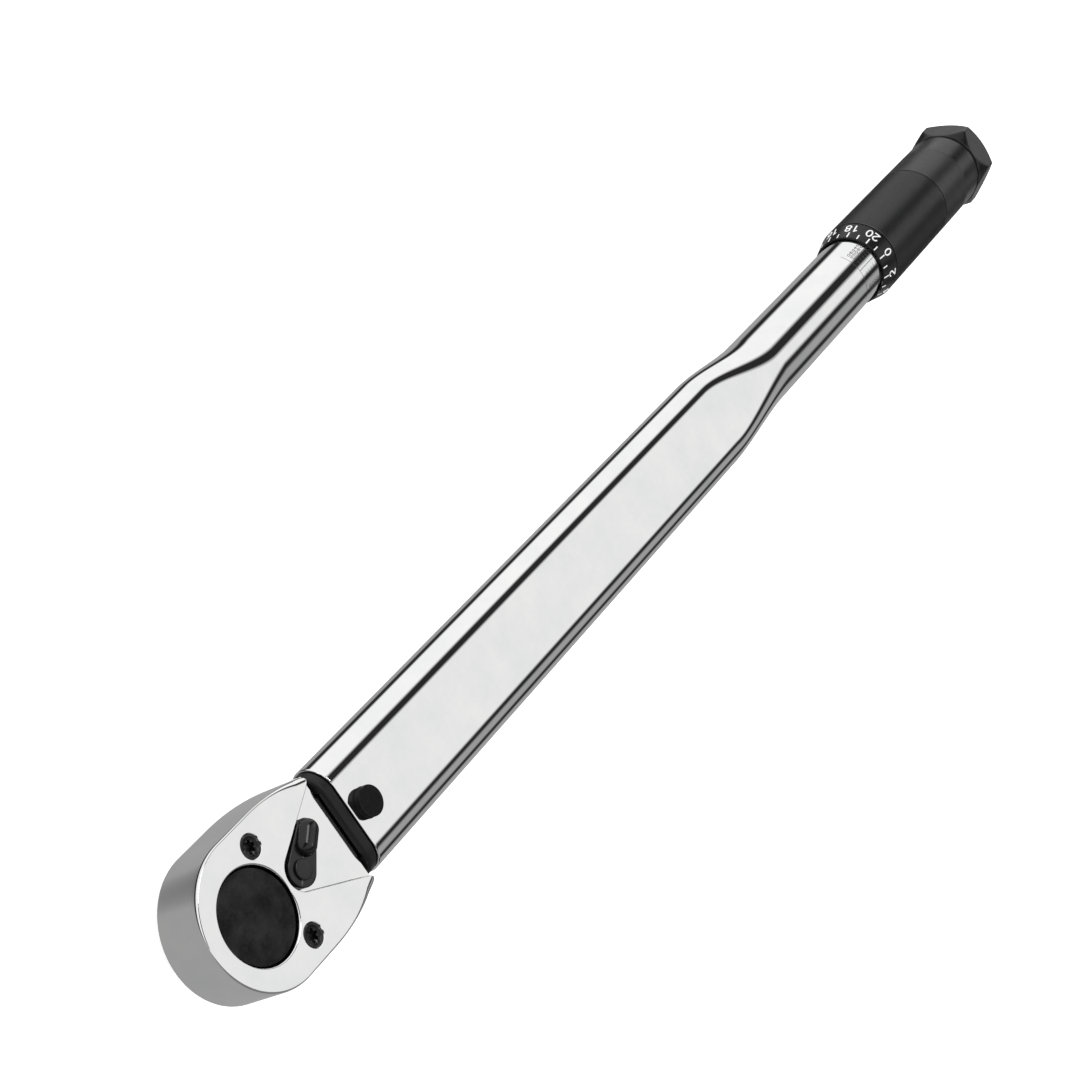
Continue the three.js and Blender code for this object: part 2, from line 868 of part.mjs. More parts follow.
function sleeveNut() {
  const start = counterboreX + gap;
  const hexagon = new THREE.CylinderGeometry(11.6, 11.6, 5, 6)
    .rotateZ(Math.PI / 2)
    .translate(start + 2.5, 0, tubeAxisZ);
  return cut(hexagon, barX(start - 1, start + 6, screwRadius + gap));
}

// ---------- lock ----------
function lockRod() {
  const coneSlope = 0.2;
  const contactRadius = 3.15;
  const tipX = lockBallX - 8;
  const coneEndX = lockBallX + (lockRodRadius - contactRadius) / coneSlope;
  return turnedX([
    [tipX, 0],
    [tipX, contactRadius - coneSlope * (lockBallX - tipX)],
    [coneEndX, lockRodRadius],
    [studEndX - gap, lockRodRadius],
    [studEndX - gap, 0],
  ], coarse);
}

function lockBall(side) {
  const centre = nutInnerRadius - 0.1 - lockBallRadius;
  return new THREE.SphereGeometry(lockBallRadius, ballAround, ballUp).translate(
    lockBallX,
    side * centre,
    tubeAxisZ,
  );
}

function lockKnob() {
  const hexagon = new THREE.CylinderGeometry(
    knobCornerRadius,
    knobCornerRadius,
    knobEndX - knobStartX,
    6,
  )
    .rotateZ(-Math.PI / 2)
    .rotateX(Math.PI / 2)
    .translate((knobStartX + knobEndX) / 2, 0, tubeAxisZ);
  const cones = turnedX([
    [knobStartX, 0],
    [knobStartX, 16.6],
    [knobFlatStartX, knobCornerRadius + 0.1],
    [knobFlatEndX, knobCornerRadius + 0.1],
    [knobEndX, 15.5],
    [knobEndX, 0],
  ], fine);
  const stud = barX(studEndX, knobStartX + 1, 4.9, coarse);
  return join(overlapOf(hexagon, cones), stud);
}

// ---------- finishes ----------
function finish(color, roughness, metalness) {
  return new THREE.MeshStandardMaterial({ color, roughness, metalness });
}

const chrome = finish("#d9dadc", 0.06, 1);
const blackSteel = finish("#171718", 0.42, 0.7);
const blackSatin = finish("#232324", 0.38, 0.55);
const greySteel = finish("#8d8f91", 0.35, 1);
const springSteel = finish("#5a5c5f", 0.4, 0.9);
const blackRubber = finish("#0e0e0f", 0.7, 0);
const blackNylon = finish("#1c1c1c", 0.6, 0);

// ---------- assembly ----------
const assembly = new THREE.Group();
assembly.position.z = squareReach;

function place(parent, name, geometry, material) {
  const mesh = new THREE.Mesh(geometry, material);
  mesh.name = name;
  parent.add(mesh);
  return mesh;
}

place(assembly, "tube_body", tubeBody(), chrome);
place(assembly, "pivot_pin", pivotPin(), blackSteel);
place(assembly, "dust_seal", dustSeal(), blackRubber);
place(assembly, "rod_guide", rodGuide(), blackNylon);
place(assembly, "tube_nut", tubeNut(), greySteel);
place(assembly, "nut_pin_left", nutPin(1), greySteel);
place(assembly, "nut_pin_right", nutPin(-1), greySteel);

const head = new THREE.Group();
assembly.add(head);
place(head, "ratchet_head", ratchetHead(), chrome);
place(head, "cover_plate", coverPlate(), greySteel);
for (const [name, x, y] of screwSpots) place(head, name, coverScrew(x, y), blackSteel);
place(head, "drive_gear", driveGear(), blackSteel);
place(head, "detent_ball", detentBall(), greySteel);
place(head, "detent_spring", detentSpring(), springSteel);

const rockingPawl = place(head, "pawl", pawl(), greySteel);
rockingPawl.position.x = pawlX;
rockingPawl.rotation.z = THREE.MathUtils.degToRad(1.5);

const lever = new THREE.Group();
lever.position.x = hubX;
lever.rotation.z = leverAngle;
head.add(lever);
place(lever, "reverse_lever", reverseLever(), blackSteel);
place(lever, "lever_plunger", leverPlunger(), greySteel);
place(lever, "plunger_spring", plungerSpring(), springSteel);

const linkage = new THREE.Group();
assembly.add(linkage);
place(linkage, "tilt_block", tiltBlock(), greySteel).position.x = blockRearX;
place(linkage, "push_rod", pushRod(), greySteel);
place(linkage, "front_spring_seat", frontSpringSeat(), greySteel);
place(linkage, "main_spring", mainSpring(), springSteel);
place(linkage, "rear_spring_seat", rearSpringSeat(), greySteel);
place(linkage, "thrust_ball", thrustBall(), greySteel);

const handle = new THREE.Group();
assembly.add(handle);
place(handle, "adjusting_screw", adjustingScrew(), greySteel);
place(handle, "stop_ring", stopRing(), springSteel);
place(handle, "scale_thimble", scaleThimble(), blackSatin);
place(handle, "grip_sleeve", gripSleeve(), blackSatin);
place(handle, "sleeve_nut", sleeveNut(), greySteel);
place(handle, "lock_rod", lockRod(), greySteel);
place(handle, "lock_ball_left", lockBall(1), greySteel);
place(handle, "lock_ball_right", lockBall(-1), greySteel);
place(handle, "lock_knob", lockKnob(), blackSatin);

export default assembly;
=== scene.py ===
"""A click-type torque wrench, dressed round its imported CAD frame.

Shapes are drawn in millimetres in the part's own frame, with z measured from the head's top face.
+X runs from the drive axis to the lock knob, and +Z points out of the lever side of the head.
"""

import math

import bmesh
import bpy
from mathutils import Matrix, Vector
from mathutils.geometry import tessellate_polygon


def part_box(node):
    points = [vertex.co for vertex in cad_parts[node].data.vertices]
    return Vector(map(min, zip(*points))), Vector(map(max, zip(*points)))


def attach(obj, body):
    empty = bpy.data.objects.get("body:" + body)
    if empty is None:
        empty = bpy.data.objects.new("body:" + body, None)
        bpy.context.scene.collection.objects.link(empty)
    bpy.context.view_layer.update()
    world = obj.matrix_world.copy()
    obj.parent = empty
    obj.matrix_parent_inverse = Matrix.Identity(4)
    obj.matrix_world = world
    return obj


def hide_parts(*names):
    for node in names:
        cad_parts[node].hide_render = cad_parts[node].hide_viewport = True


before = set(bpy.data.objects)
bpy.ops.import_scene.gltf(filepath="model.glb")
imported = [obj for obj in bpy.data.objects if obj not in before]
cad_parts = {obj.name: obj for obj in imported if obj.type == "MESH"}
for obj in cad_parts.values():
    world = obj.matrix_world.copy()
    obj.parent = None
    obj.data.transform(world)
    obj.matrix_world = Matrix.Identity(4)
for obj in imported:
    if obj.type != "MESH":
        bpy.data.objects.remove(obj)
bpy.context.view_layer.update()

MM = 0.001
TINY = 1e-6


def span(node):
    """A CAD node's lowest and highest corners, in millimetres."""
    low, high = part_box(node)
    return [v / MM for v in low], [v / MM for v in high]


TOP = span("ratchet_head")[1][2]

# ---------- driving dimensions, in mm ----------
TUBE_LOW, TUBE_HIGH = span("tube_body")
TUBE_RADIUS = 14.2875
TUBE_WALL = 2.0
FLAT_THICKNESS = 16.2
AXIS_Z = -7.5
MOUTH_X = TUBE_LOW[0]
TUBE_END_X = TUBE_HIGH[0]
FLAT_END_X = 306.0
ROUND_START_X = 353.0

HEAD_THICKNESS = 17.75
HEAD_RADIUS = 22.1
HEAD_ARC_X = 2.6
SIDE_END_X = 16.0
SHOULDER_X = 42.1
SHOULDER_HALF_WIDTH = 17.7
BORE_RADIUS = 13.7
BORE_DEPTH = 3.2
GEAR_RADIUS = 14.1
PLATE_THICKNESS = 2.1

HUB_X = 20.85
POCKET_HALF_ANGLE = math.radians(25.6)
POCKET_NOSE_RADIUS = 5.95
POCKET_DEPTH = 2.7
LEVER_STEM_RADIUS = 3.0
LEVER_ANGLE = math.radians(36.5)
LEVER_TIP_DISTANCE = 11.5

SQUARE_SIDE = 12.7
SQUARE_END = -TOP
PIN_X = 53.1
PIN_RADIUS = 4.65
PIN_STAND_OUT = 2.6
NUT_PIN_X = 504
ARM_END_X = 145.0
DETENT_Z = SQUARE_END + 7.5
DETENT_RADIUS = 2.4

THIMBLE_LOW, THIMBLE_HIGH = span("scale_thimble")
THIMBLE_START_X = THIMBLE_LOW[0]
THIMBLE_END_X = THIMBLE_HIGH[0]
THIMBLE_FRONT_RADIUS = 15.4
GRIP_RADIUS = 17.5
GRIP_START_X = span("grip_sleeve")[0][0]
GRIP_END_X = span("grip_sleeve")[1][0]
GRIP_GROOVE_X = 533.9
GRIP_BAND_END_X = 562.5

KNOB_START_X = 580.7
KNOB_FLAT_START_X = 587.5
KNOB_FLAT_END_X = 592.9
KNOB_END_X = 598.3
KNOB_CORNER_RADIUS = 20.3
KNOB_FRONT_RADIUS = 17.6
KNOB_BACK_RADIUS = 15.5
KNOB_ROLL = math.radians(-3.6)


# ---------- outlines ----------
def arc(cx, cy, radius, start, end, steps):
    """Points along an arc, from one angle to another in degrees, both ends included."""
    turns = [math.radians(start + (end - start) * k / steps) for k in range(steps + 1)]
    return [(cx + radius * math.cos(t), cy + radius * math.sin(t)) for t in turns]


def corner_arc(before, corner, after, radius, steps):
    """One corner of an outline, rounded to a radius."""
    corner = Vector(corner)
    to_before = (Vector(before) - corner).normalized()
    to_after = (Vector(after) - corner).normalized()
    half = to_before.angle(to_after) / 2
    if radius < TINY or half > math.pi / 2 - 0.01:
        return [tuple(corner)]
    centre = corner + (to_before + to_after).normalized() * (radius / math.sin(half))
    back = radius / math.tan(half)
    start = corner + to_before * back - centre
    end = corner + to_after * back - centre
    first = math.atan2(start.y, start.x)
    swing = (math.atan2(end.y, end.x) - first + math.pi) % (2 * math.pi) - math.pi
    first, swing = math.degrees(first), math.degrees(swing)
    return arc(centre.x, centre.y, radius, first, first + swing, steps)


def softened(points, radius, steps=5):
    """An open outline with its inner corners rounded, all alike or each to its own radius."""
    radii = radius if isinstance(radius, (list, tuple)) else [radius] * (len(points) - 2)
    out = [points[0]]
    for before, corner, after, r in zip(points, points[1:], points[2:], radii):
        out.extend(corner_arc(before, corner, after, r, steps))
    out.append(points[-1])
    return out


def inset(loop, distance):
    """A closed anticlockwise outline moved inwards by a distance, corners mitred."""
    out = []
    for i, point in enumerate(loop):
        here = Vector(point)
        before = (here - Vector(loop[i - 1])).normalized()
        after = (Vector(loop[(i + 1) % len(loop)]) - here).normalized()
        normal_before = Vector((-before.y, before.x))
        normal_after = Vector((-after.y, after.x))
        share = max(0.3, 1 + normal_before.dot(normal_after))
        out.append(tuple(here + (normal_before + normal_after) * (distance / share)))
    return out


def two_lobes(first_radius, length, second_radius, steps=20):
    """The outline round two circles on a line, the first at the origin."""
    lean = math.degrees(math.acos((first_radius - second_radius) / length))
    first = arc(0, 0, first_radius, lean, 360 - lean, 2 * steps)
    return first + arc(length, 0, second_radius, -lean, lean, steps)


def moved(loop, dx, dy=0.0):
    return [(x + dx, y + dy) for x, y in loop]


def around(count, radius_at):
    """A closed outline from its radius at each angle."""
    turns = [2 * math.pi * k / count for k in range(count)]
    return [(radius_at(t) * math.cos(t), radius_at(t) * math.sin(t)) for t in turns]


# ---------- surfaces ----------
class Surface:
    """Points and the faces between them, gathered before they become a mesh."""

    def __init__(self):
        self.points = []
        self.faces = []

    def row(self, points):
        start = len(self.points)
        self.points.extend(points)
        return list(range(start, len(self.points)))

    def level(self, loop, z):
        return self.row([(x, y, z) for x, y in loop])

    def section(self, loop, x):
        """A loop of (y, z) points measured from the tube's axis, stood up at x."""
        return self.row([(x, y, z + AXIS_Z) for y, z in loop])

    def face(self, *corners):
        corners = tuple(dict.fromkeys(corners))
        if len(corners) > 2:
            self.faces.append(corners)

    def skin(self, rows, closed=True):
        """Faces between each row and the next."""
        for first, second in zip(rows, rows[1:]):
            count = len(first)
            for i in range(count if closed else count - 1):
                j = (i + 1) % count
                self.face(first[i], first[j], second[j], second[i])

    def fill(self, *loops):
        """A flat face inside the first loop and outside the others."""
        flat = [i for loop in loops for i in loop]
        outlines = [[Vector(self.points[i]) for i in loop] for loop in loops]
        for a, b, c in tessellate_polygon(outlines):
            self.face(flat[a], flat[b], flat[c])

    def mesh(self, name):
        data = bpy.data.meshes.new(name)
        points = [(x * MM, y * MM, (z + TOP) * MM) for x, y, z in self.points]
        data.from_pydata(points, [], self.faces)
        work = bmesh.new()
        work.from_mesh(data)
        bmesh.ops.remove_doubles(work, verts=work.verts, dist=1e-7)
        bmesh.ops.dissolve_degenerate(work, edges=work.edges, dist=1e-8)
        bmesh.ops.recalc_face_normals(work, faces=work.faces)
        work.to_mesh(data)
        work.free()
        return data


def turned_x(surface, profile, count=96, closed=False):
    """A body turned about the tube's axis, from (x, radius) points."""
    rows = []
    for x, radius in profile:
        if radius < TINY:
            rows.append(surface.row([(x, 0, AXIS_Z)]) * count)
        else:
            rows.append(surface.section(around(count, lambda t: radius), x))
    surface.skin(rows + rows[:1] if closed else rows)


def turned_z(surface, profile, x=0.0, y=0.0, count=96, closed=False):
    """A body turned about a vertical axis, from (radius, z) points."""
    rows = []
    for radius, z in profile:
        if radius < TINY:
            rows.append(surface.row([(x, y, z)]) * count)
        else:
            rows.append(surface.level(moved(around(count, lambda t: radius), x, y), z))
    surface.skin(rows + rows[:1] if closed else rows)


def slab(surface, outline, z0, z1, edge, holes=(), steps=4):
    """A flat shape with rounded edges and plain holes."""
    turns = [math.radians(90 * k / steps) for k in range(steps + 1)]
    low = [(edge * (1 - math.sin(t)), z0 + edge * (1 - math.cos(t))) for t in turns]
    high = [(edge * (1 - math.cos(t)), z1 - edge * (1 - math.sin(t))) for t in turns]
    rows = [surface.level(inset(outline, d), z) for d, z in low + high]
    surface.skin(rows)
    tops = [surface.level(hole, z1) for hole in holes]
    bottoms = [surface.level(hole, z0) for hole in holes]
    for top, bottom in zip(tops, bottoms):
        surface.skin([top, bottom])
    surface.fill(rows[-1], *tops)
    surface.fill(rows[0], *bottoms)


# ---------- pieces ----------
def crisp(made, sharp):
    """Smooth shading, with edges over an angle left sharp."""
    made.data.shade_smooth()
    made.data.set_sharp_from_angle(angle=math.radians(sharp))
    weighted = made.modifiers.new("weighted_normals", "WEIGHTED_NORMAL")
    weighted.keep_sharp = True
    weighted.weight = 95


def piece(name, data, body, material, replaced=(), sharp=35):
    made = bpy.data.objects.new(name, data)
    bpy.context.scene.collection.objects.link(made)
    data.materials.append(material)
    crisp(made, sharp)
    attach(made, body)
    if replaced:
        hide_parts(*replaced)
    return made


def combined(data, tool, operation):
    """A mesh with a tool's surface joined to it or cut out of it."""
    blank = bpy.data.objects.new("blank", data)
    cutter = bpy.data.objects.new("cutter", tool.mesh("cutter"))
    for made in (blank, cutter):
        bpy.context.scene.collection.objects.link(made)
    step = blank.modifiers.new("step", "BOOLEAN")
    step.operation = operation
    step.solver = "MANIFOLD"
    step.object = cutter
    graph = bpy.context.evaluated_depsgraph_get()
    result = bpy.data.meshes.new_from_object(blank.evaluated_get(graph))
    result.name = data.name
    result.materials.clear()
    result.polygons.foreach_set("material_index", [0] * len(result.polygons))
    for made in (blank, cutter):
        bpy.data.objects.remove(made)
    return result


def joined(data, tool):
    return combined(data, tool, "UNION")


def cut(data, *tools):
    for tool in tools:
        data = combined(data, tool, "DIFFERENCE")
    return data


def closed_between(made, ends):
    """A body between two end loops, with both ends filled."""
    made.skin(ends)
    for end in ends:
        made.fill(end)
    return made


def bar_z(x, y, z0, z1, radius, count=64):
    """An upright bar, for joining or cutting."""
    made = Surface()
    turned_z(made, [(0, z0), (radius, z0), (radius, z1), (0, z1)], x, y, count)
    return made


def bar_y(x, z, y0, y1, radius, count=32):
    """A bar along Y, for cutting."""
    made = Surface()
    loop = around(count, lambda t: radius)
    return closed_between(made, [made.row([(x + a, y, z + b) for a, b in loop]) for y in (y0, y1)])


def bar_x(x0, x1, y, z, radius, count=32):
    """A bar along X, for cutting."""
    made = Surface()
    loop = around(count, lambda t: radius)
    return closed_between(made, [made.row([(x, y + a, z + b) for a, b in loop]) for x in (x0, x1)])


def block(x0, x1, y0, y1, z0, z1):
    """A box, for cutting."""
    made = Surface()
    loop = [(x0, y0), (x1, y0), (x1, y1), (x0, y1)]
    return closed_between(made, [made.level(loop, z) for z in (z0, z1)])


# ---------- materials ----------
class Tree:
    """A node tree that nodes and links are added to."""

    def add(self, kind, **settings):
        node = self.tree.nodes.new(kind)
        for key, value in settings.items():
            setattr(node, key, value)
        return node

    def link(self, source, target):
        self.tree.links.new(source, target)


class Nodes(Tree):
    """A short way to write a material."""

    def __init__(self, name):
        self.material = bpy.data.materials.new(name)
        self.material.use_nodes = True
        self.tree = self.material.node_tree
        self.shader = self.tree.nodes["Principled BSDF"]
        self.place = self.add("ShaderNodeTexCoord").outputs["Object"]

    def stretched(self, scale):
        node = self.add("ShaderNodeMapping")
        node.inputs["Scale"].default_value = scale
        self.link(self.place, node.inputs["Vector"])
        return node.outputs["Vector"]

    def noise(self, scale, detail=4.0, roughness=0.6, stretch=(1, 1, 1)):
        node = self.add("ShaderNodeTexNoise")
        node.inputs["Scale"].default_value = scale
        node.inputs["Detail"].default_value = detail
        node.inputs["Roughness"].default_value = roughness
        self.link(self.stretched(stretch), node.inputs["Vector"])
        return node.outputs["Fac"]

    def ramp(self, source, low, high, out_low, out_high):
        node = self.add("ShaderNodeMapRange")
        node.inputs["From Min"].default_value = low
        node.inputs["From Max"].default_value = high
        node.inputs["To Min"].default_value = out_low
        node.inputs["To Max"].default_value = out_high
        self.link(source, node.inputs["Value"])
        return node.outputs["Result"]

    def sum(self, first, second, operation="ADD"):
        node = self.add("ShaderNodeMath", operation=operation)
        self.link(first, node.inputs[0])
        if isinstance(second, (int, float)):
            node.inputs[1].default_value = second
        else:
            self.link(second, node.inputs[1])
        return node.outputs["Value"]

    def mix(self, factor, first, second):
        node = self.add("ShaderNodeMix", data_type="RGBA")
        self.link(factor, node.inputs["Factor"])
        for socket, value in ((node.inputs["A"], first), (node.inputs["B"], second)):
            if isinstance(value, tuple):
                socket.default_value = (*value, 1)
            else:
                self.link(value, socket)
        return node.outputs["Result"]

    def edges(self):
        """How far a convex edge is worn, from the surface's own pointiness."""
        return self.ramp(self.add("ShaderNodeNewGeometry").outputs["Pointiness"], 0.52, 0.6, 0, 1)

    def bump(self, height, strength, distance):
        node = self.add("ShaderNodeBump")
        node.inputs["Strength"].default_value = strength
        node.inputs["Distance"].default_value = distance * MM
        self.link(height, node.inputs["Height"])
        self.link(node.outputs["Normal"], self.shader.inputs["Normal"])

    def finish(self, color, roughness, metallic, specular=0.5):
        self.link(color, self.shader.inputs["Base Color"])
        self.link(roughness, self.shader.inputs["Roughness"])
        self.shader.inputs["Metallic"].default_value = metallic
        self.shader.inputs["Specular IOR Level"].default_value = specular
        return self.material


def grey(value, warmth=0.0):
    return (value * (1 + warmth), value, value * (1 - warmth))


def chrome(name, grain, smudge):
    """Bright plating with faint ripple, fine grain and the haze that fingers leave."""
    n = Nodes(name)
    haze = n.noise(60, 5, 0.65)
    fine = n.noise(2600, 3, 0.6)
    color = n.mix(n.ramp(haze, 0.35, 0.7, 0, 1), grey(0.86, 0.004), grey(0.80, -0.006))
    rough = n.sum(n.ramp(haze, 0.4, 0.75, 0.035, 0.035 + smudge), n.ramp(fine, 0.3, 0.7, 0, grain))
    ripple = n.sum(n.ramp(n.noise(90, 2, 0.5), 0, 1, 0, 0.6), n.ramp(fine, 0, 1, 0, 0.4 + 4 * grain))
    n.bump(ripple, 0.12, 0.05)
    return n.finish(color, rough, 1.0)


def black_metal(name, dark, light, rough_low, rough_high, bump, specular, grain=1500):
    """Black finish on steel: uneven sheen, fine tooth and paler worn edges."""
    n = Nodes(name)
    cloud = n.noise(150, 5, 0.6)
    fine = n.noise(grain, 4, 0.7)
    worn = n.sum(n.edges(), n.ramp(cloud, 0.35, 0.65, 0, 1), "MULTIPLY")
    body = n.mix(n.ramp(fine, 0.3, 0.7, 0, 1), grey(dark), grey(light))
    color = n.mix(n.sum(worn, 0.5, "MULTIPLY"), body, grey(0.22))
    rough = n.ramp(n.sum(n.sum(cloud, fine), 0.5, "MULTIPLY"), 0.35, 0.65, rough_low, rough_high)
    n.bump(fine, bump, 0.04)
    return n.finish(color, rough, 0.0, specular)


# How far below the grip's top the colour darkens: painted shade in the grooves, with wear on the peaks.
GROOVE_SHADE_AND_WEAR_DEPTH = 0.22


def knurled_black(name, groove, peak):
    """Black finish on the knurled grip, paler on the peaks as wear and darker in the grooves as painted
    shade.
    """
    n = Nodes(name)
    cloud = n.noise(150, 5, 0.6)
    fine = n.noise(1500, 4, 0.7)
    shifted = n.add("ShaderNodeVectorMath", operation="MULTIPLY_ADD")
    n.link(n.place, shifted.inputs[0])
    shifted.inputs[1].default_value = (0, 1, 1)
    shifted.inputs[2].default_value = (0, 0, -(TOP + AXIS_Z) * MM)
    reach = n.add("ShaderNodeVectorMath", operation="LENGTH")
    n.link(shifted.outputs["Vector"], reach.inputs[0])
    height = n.ramp(reach.outputs["Value"], (GRIP_RADIUS - GROOVE_SHADE_AND_WEAR_DEPTH) * MM, GRIP_RADIUS * MM, 0, 1)
    # The colour is darkest at the bottoms of the grooves: painted shade in the grooves, with wear on
    # the peaks.
    worn = n.sum(height, n.ramp(cloud, 0.3, 0.7, 0.5, 1), "MULTIPLY")
    color = n.mix(worn, grey(groove), grey(peak))
    n.bump(fine, 0.2, 0.04)
    return n.finish(color, n.ramp(fine, 0.3, 0.7, 0.3, 0.45), 0.0, 0.35)


def bare_steel(name, tone, stretch, rough=0.3):
    """Machined steel with tool marks along one direction."""
    n = Nodes(name)
    marks = n.noise(900, 5, 0.7, stretch)
    cloud = n.noise(80, 4, 0.6)
    color = n.mix(n.ramp(cloud, 0.35, 0.7, 0, 1), grey(tone, 0.01), grey(0.75 * tone, 0.03))
    rough_out = n.ramp(marks, 0.3, 0.7, rough - 0.08, rough + 0.12)
    n.bump(marks, 0.15, 0.03)
    return n.finish(color, rough_out, 1.0)


def moulded(name, tone, rough, specular=0.25):
    """Black rubber or nylon with a fine moulded tooth."""
    n = Nodes(name)
    fine = n.noise(1800, 4, 0.7)
    cloud = n.noise(120, 4, 0.6)
    color = n.mix(cloud, grey(tone), grey(1.6 * tone))
    n.bump(fine, 0.2, 0.05)
    return n.finish(color, n.ramp(fine, 0.3, 0.7, rough - 0.08, rough + 0.1), 0.0, specular)


def paint(name, tone, rough):
    """Printed or filled marks, a little uneven."""
    n = Nodes(name)
    cloud = n.noise(900, 3, 0.6)
    color = n.mix(cloud, grey(0.85 * tone), grey(tone))
    return n.finish(color, n.ramp(cloud, 0.3, 0.7, rough, rough + 0.15), 0.0)


TUBE_CHROME = chrome("tube_chrome", 0.01, 0.03)
HEAD_CHROME = chrome("head_chrome", 0.045, 0.03)
BLACK_OXIDE = black_metal("black_oxide", 0.003, 0.008, 0.2, 0.36, 0.25, 0.25)
DISC_OXIDE = black_metal("disc_oxide", 0.003, 0.010, 0.38, 0.6, 0.35, 0.08)
LEVER_OXIDE = black_metal("lever_oxide", 0.003, 0.007, 0.14, 0.26, 0.1, 0.4)
BLACK_SATIN = black_metal("black_satin", 0.004, 0.010, 0.22, 0.36, 0.15, 0.25)
KNURL_SATIN = knurled_black("knurl_satin", 0.0015, 0.024)
STEEL = bare_steel("bare_steel", 0.5, (1, 1, 1))
TURNED_STEEL = bare_steel("turned_steel", 0.5, (6, 0.4, 0.4))
PLATE_STEEL = bare_steel("plate_steel", 0.55, (0.3, 3, 3), 0.25)
BALL_STEEL = bare_steel("ball_steel", 0.7, (1, 1, 1), 0.14)
SPRING_STEEL = bare_steel("spring_steel", 0.25, (1, 1, 1), 0.35)
RUBBER = moulded("black_rubber", 0.006, 0.42)
NYLON = moulded("black_nylon", 0.014, 0.6)
# A near-black for rings that paint the shadow in the grip's gaps.
SHADOW_GAP_BLACK = moulded("shadow_gap_black", 0.002, 0.7, 0.08)
WHITE_PAINT = paint("white_paint", 0.9, 0.5)
ENGRAVED = paint("engraved_grey", 0.05, 0.5)


# ---------- ratchet head ----------
def flank_y(x):
    """The head's half width along the gently curved flank behind its round front."""
    drop = HEAD_RADIUS - SHOULDER_HALF_WIDTH
    run = SHOULDER_X - SIDE_END_X
    radius = (run * run + drop * drop) / (2 * drop)
    return HEAD_RADIUS - radius + math.sqrt(radius * radius - (x - SIDE_END_X) ** 2)


WING_START_X = 36.5
WING_ROOT_X = 38.2
WALL_EDGE = 0.25
HOLDING_EDGE = 0.08
FRONT_EDGE = 0.55
FRONT_FALL = 1.25


def wall_y(x):
    """The pocket's straight wall."""
    apex = HUB_X - POCKET_NOSE_RADIUS / math.sin(POCKET_HALF_ANGLE)
    return (x - apex) * math.tan(POCKET_HALF_ANGLE)


def hermite(start, start_pull, end, end_pull, t):
    """A point on the curve that leaves start along one pull and arrives at end along the other."""
    a = 2 * t**3 - 3 * t**2 + 1
    b = t**3 - 2 * t**2 + t
    c = 3 * t**2 - 2 * t**3
    d = t**3 - t**2
    return tuple(
        a * s + b * sp + c * e + d * ep for s, sp, e, ep in zip(start, start_pull, end, end_pull)
    )


def head_rim():
    """One side of the raised rim: (foot point, top edge point, depth of the rounding, toe)."""
    rim = []
    for foot in arc(HEAD_ARC_X, 0, HEAD_RADIUS, 180, 90, 36):
        share = 1 - FRONT_EDGE / HEAD_RADIUS
        top = (HEAD_ARC_X + (foot[0] - HEAD_ARC_X) * share, foot[1] * share)
        rim.append((foot, top, FRONT_FALL, 0.0))
    for k in range(1, 4):
        x = HEAD_ARC_X + (SIDE_END_X - HEAD_ARC_X) * k / 3
        fall = FRONT_FALL + (FRONT_EDGE - FRONT_FALL) * k / 3
        rim.append(((x, HEAD_RADIUS), (x, HEAD_RADIUS - FRONT_EDGE), fall, 0.0))
    run = WING_START_X - SIDE_END_X
    for k in range(1, 15):
        x = SIDE_END_X + run * k / 14
        fall = FRONT_EDGE + 1.5 * (k / 14) ** 3
        rim.append(((x, flank_y(x)), (x - 0.25 * (fall - FRONT_EDGE), flank_y(x) - fall), fall, 0.0))
    rim.extend(wing_tip(rim[-1]))
    wall_steps = 6
    nose = 90 + math.degrees(POCKET_HALF_ANGLE)
    nose_start = arc(HUB_X, 0, POCKET_NOSE_RADIUS, nose, nose, 1)[0]
    for k in range(1, wall_steps):
        x = WING_ROOT_X + (nose_start[0] - WING_ROOT_X) * k / wall_steps
        rim.append(((x, wall_y(x)), top_of_wall(x), WALL_EDGE, 0.3))
    arcs = zip(
        arc(HUB_X, 0, POCKET_NOSE_RADIUS, nose, 180, 16),
        arc(HUB_X, 0, POCKET_NOSE_RADIUS + WALL_EDGE, nose, 180, 16),
    )
    rim.extend((foot, top, WALL_EDGE, 0.3) for foot, top in arcs)
    return rim


def top_of_wall(x):
    """The edge above the pocket's wall, set back by the edge's own rounding."""
    return (
        x - WALL_EDGE * math.sin(POCKET_HALF_ANGLE),
        wall_y(x) + WALL_EDGE * math.cos(POCKET_HALF_ANGLE),
    )


def wing_tip(last):
    """The rounded tip that turns from the flank back on to the pocket's wall."""
    foot_start, top_start, fall, _ = last
    inward = (-math.cos(POCKET_HALF_ANGLE), -math.sin(POCKET_HALF_ANGLE))
    foot_pull = 15.5
    top_pull = 9.0
    foot_lean = math.atan2(flank_y(WING_START_X + 0.1) - flank_y(WING_START_X - 0.1), 0.2)
    foot_out = (foot_pull * math.cos(foot_lean), foot_pull * math.sin(foot_lean))
    top_lean = foot_lean - math.radians(12)
    top_out = (top_pull * math.cos(top_lean), top_pull * math.sin(top_lean))
    foot_end = (WING_ROOT_X, wall_y(WING_ROOT_X))
    steps = 18
    tip = []
    for k in range(1, steps + 1):
        t = k / steps
        foot = hermite(foot_start, foot_out, foot_end, [foot_pull * v for v in inward], t)
        top = hermite(top_start, top_out, top_of_wall(WING_ROOT_X), [top_pull * v for v in inward], t)
        ease = t * t * (3 - 2 * t)
        tip.append((foot, top, fall + (WALL_EDGE - fall) * ease, 0.3 * min(1, 4 * t)))
    return tip


def mirrored(half):
    """A rim that runs down the far side as well."""
    flip = [((f[0], -f[1]), (t[0], -t[1]), fall, toe) for f, t, fall, toe in reversed(half)]
    return half + flip[1:-1]


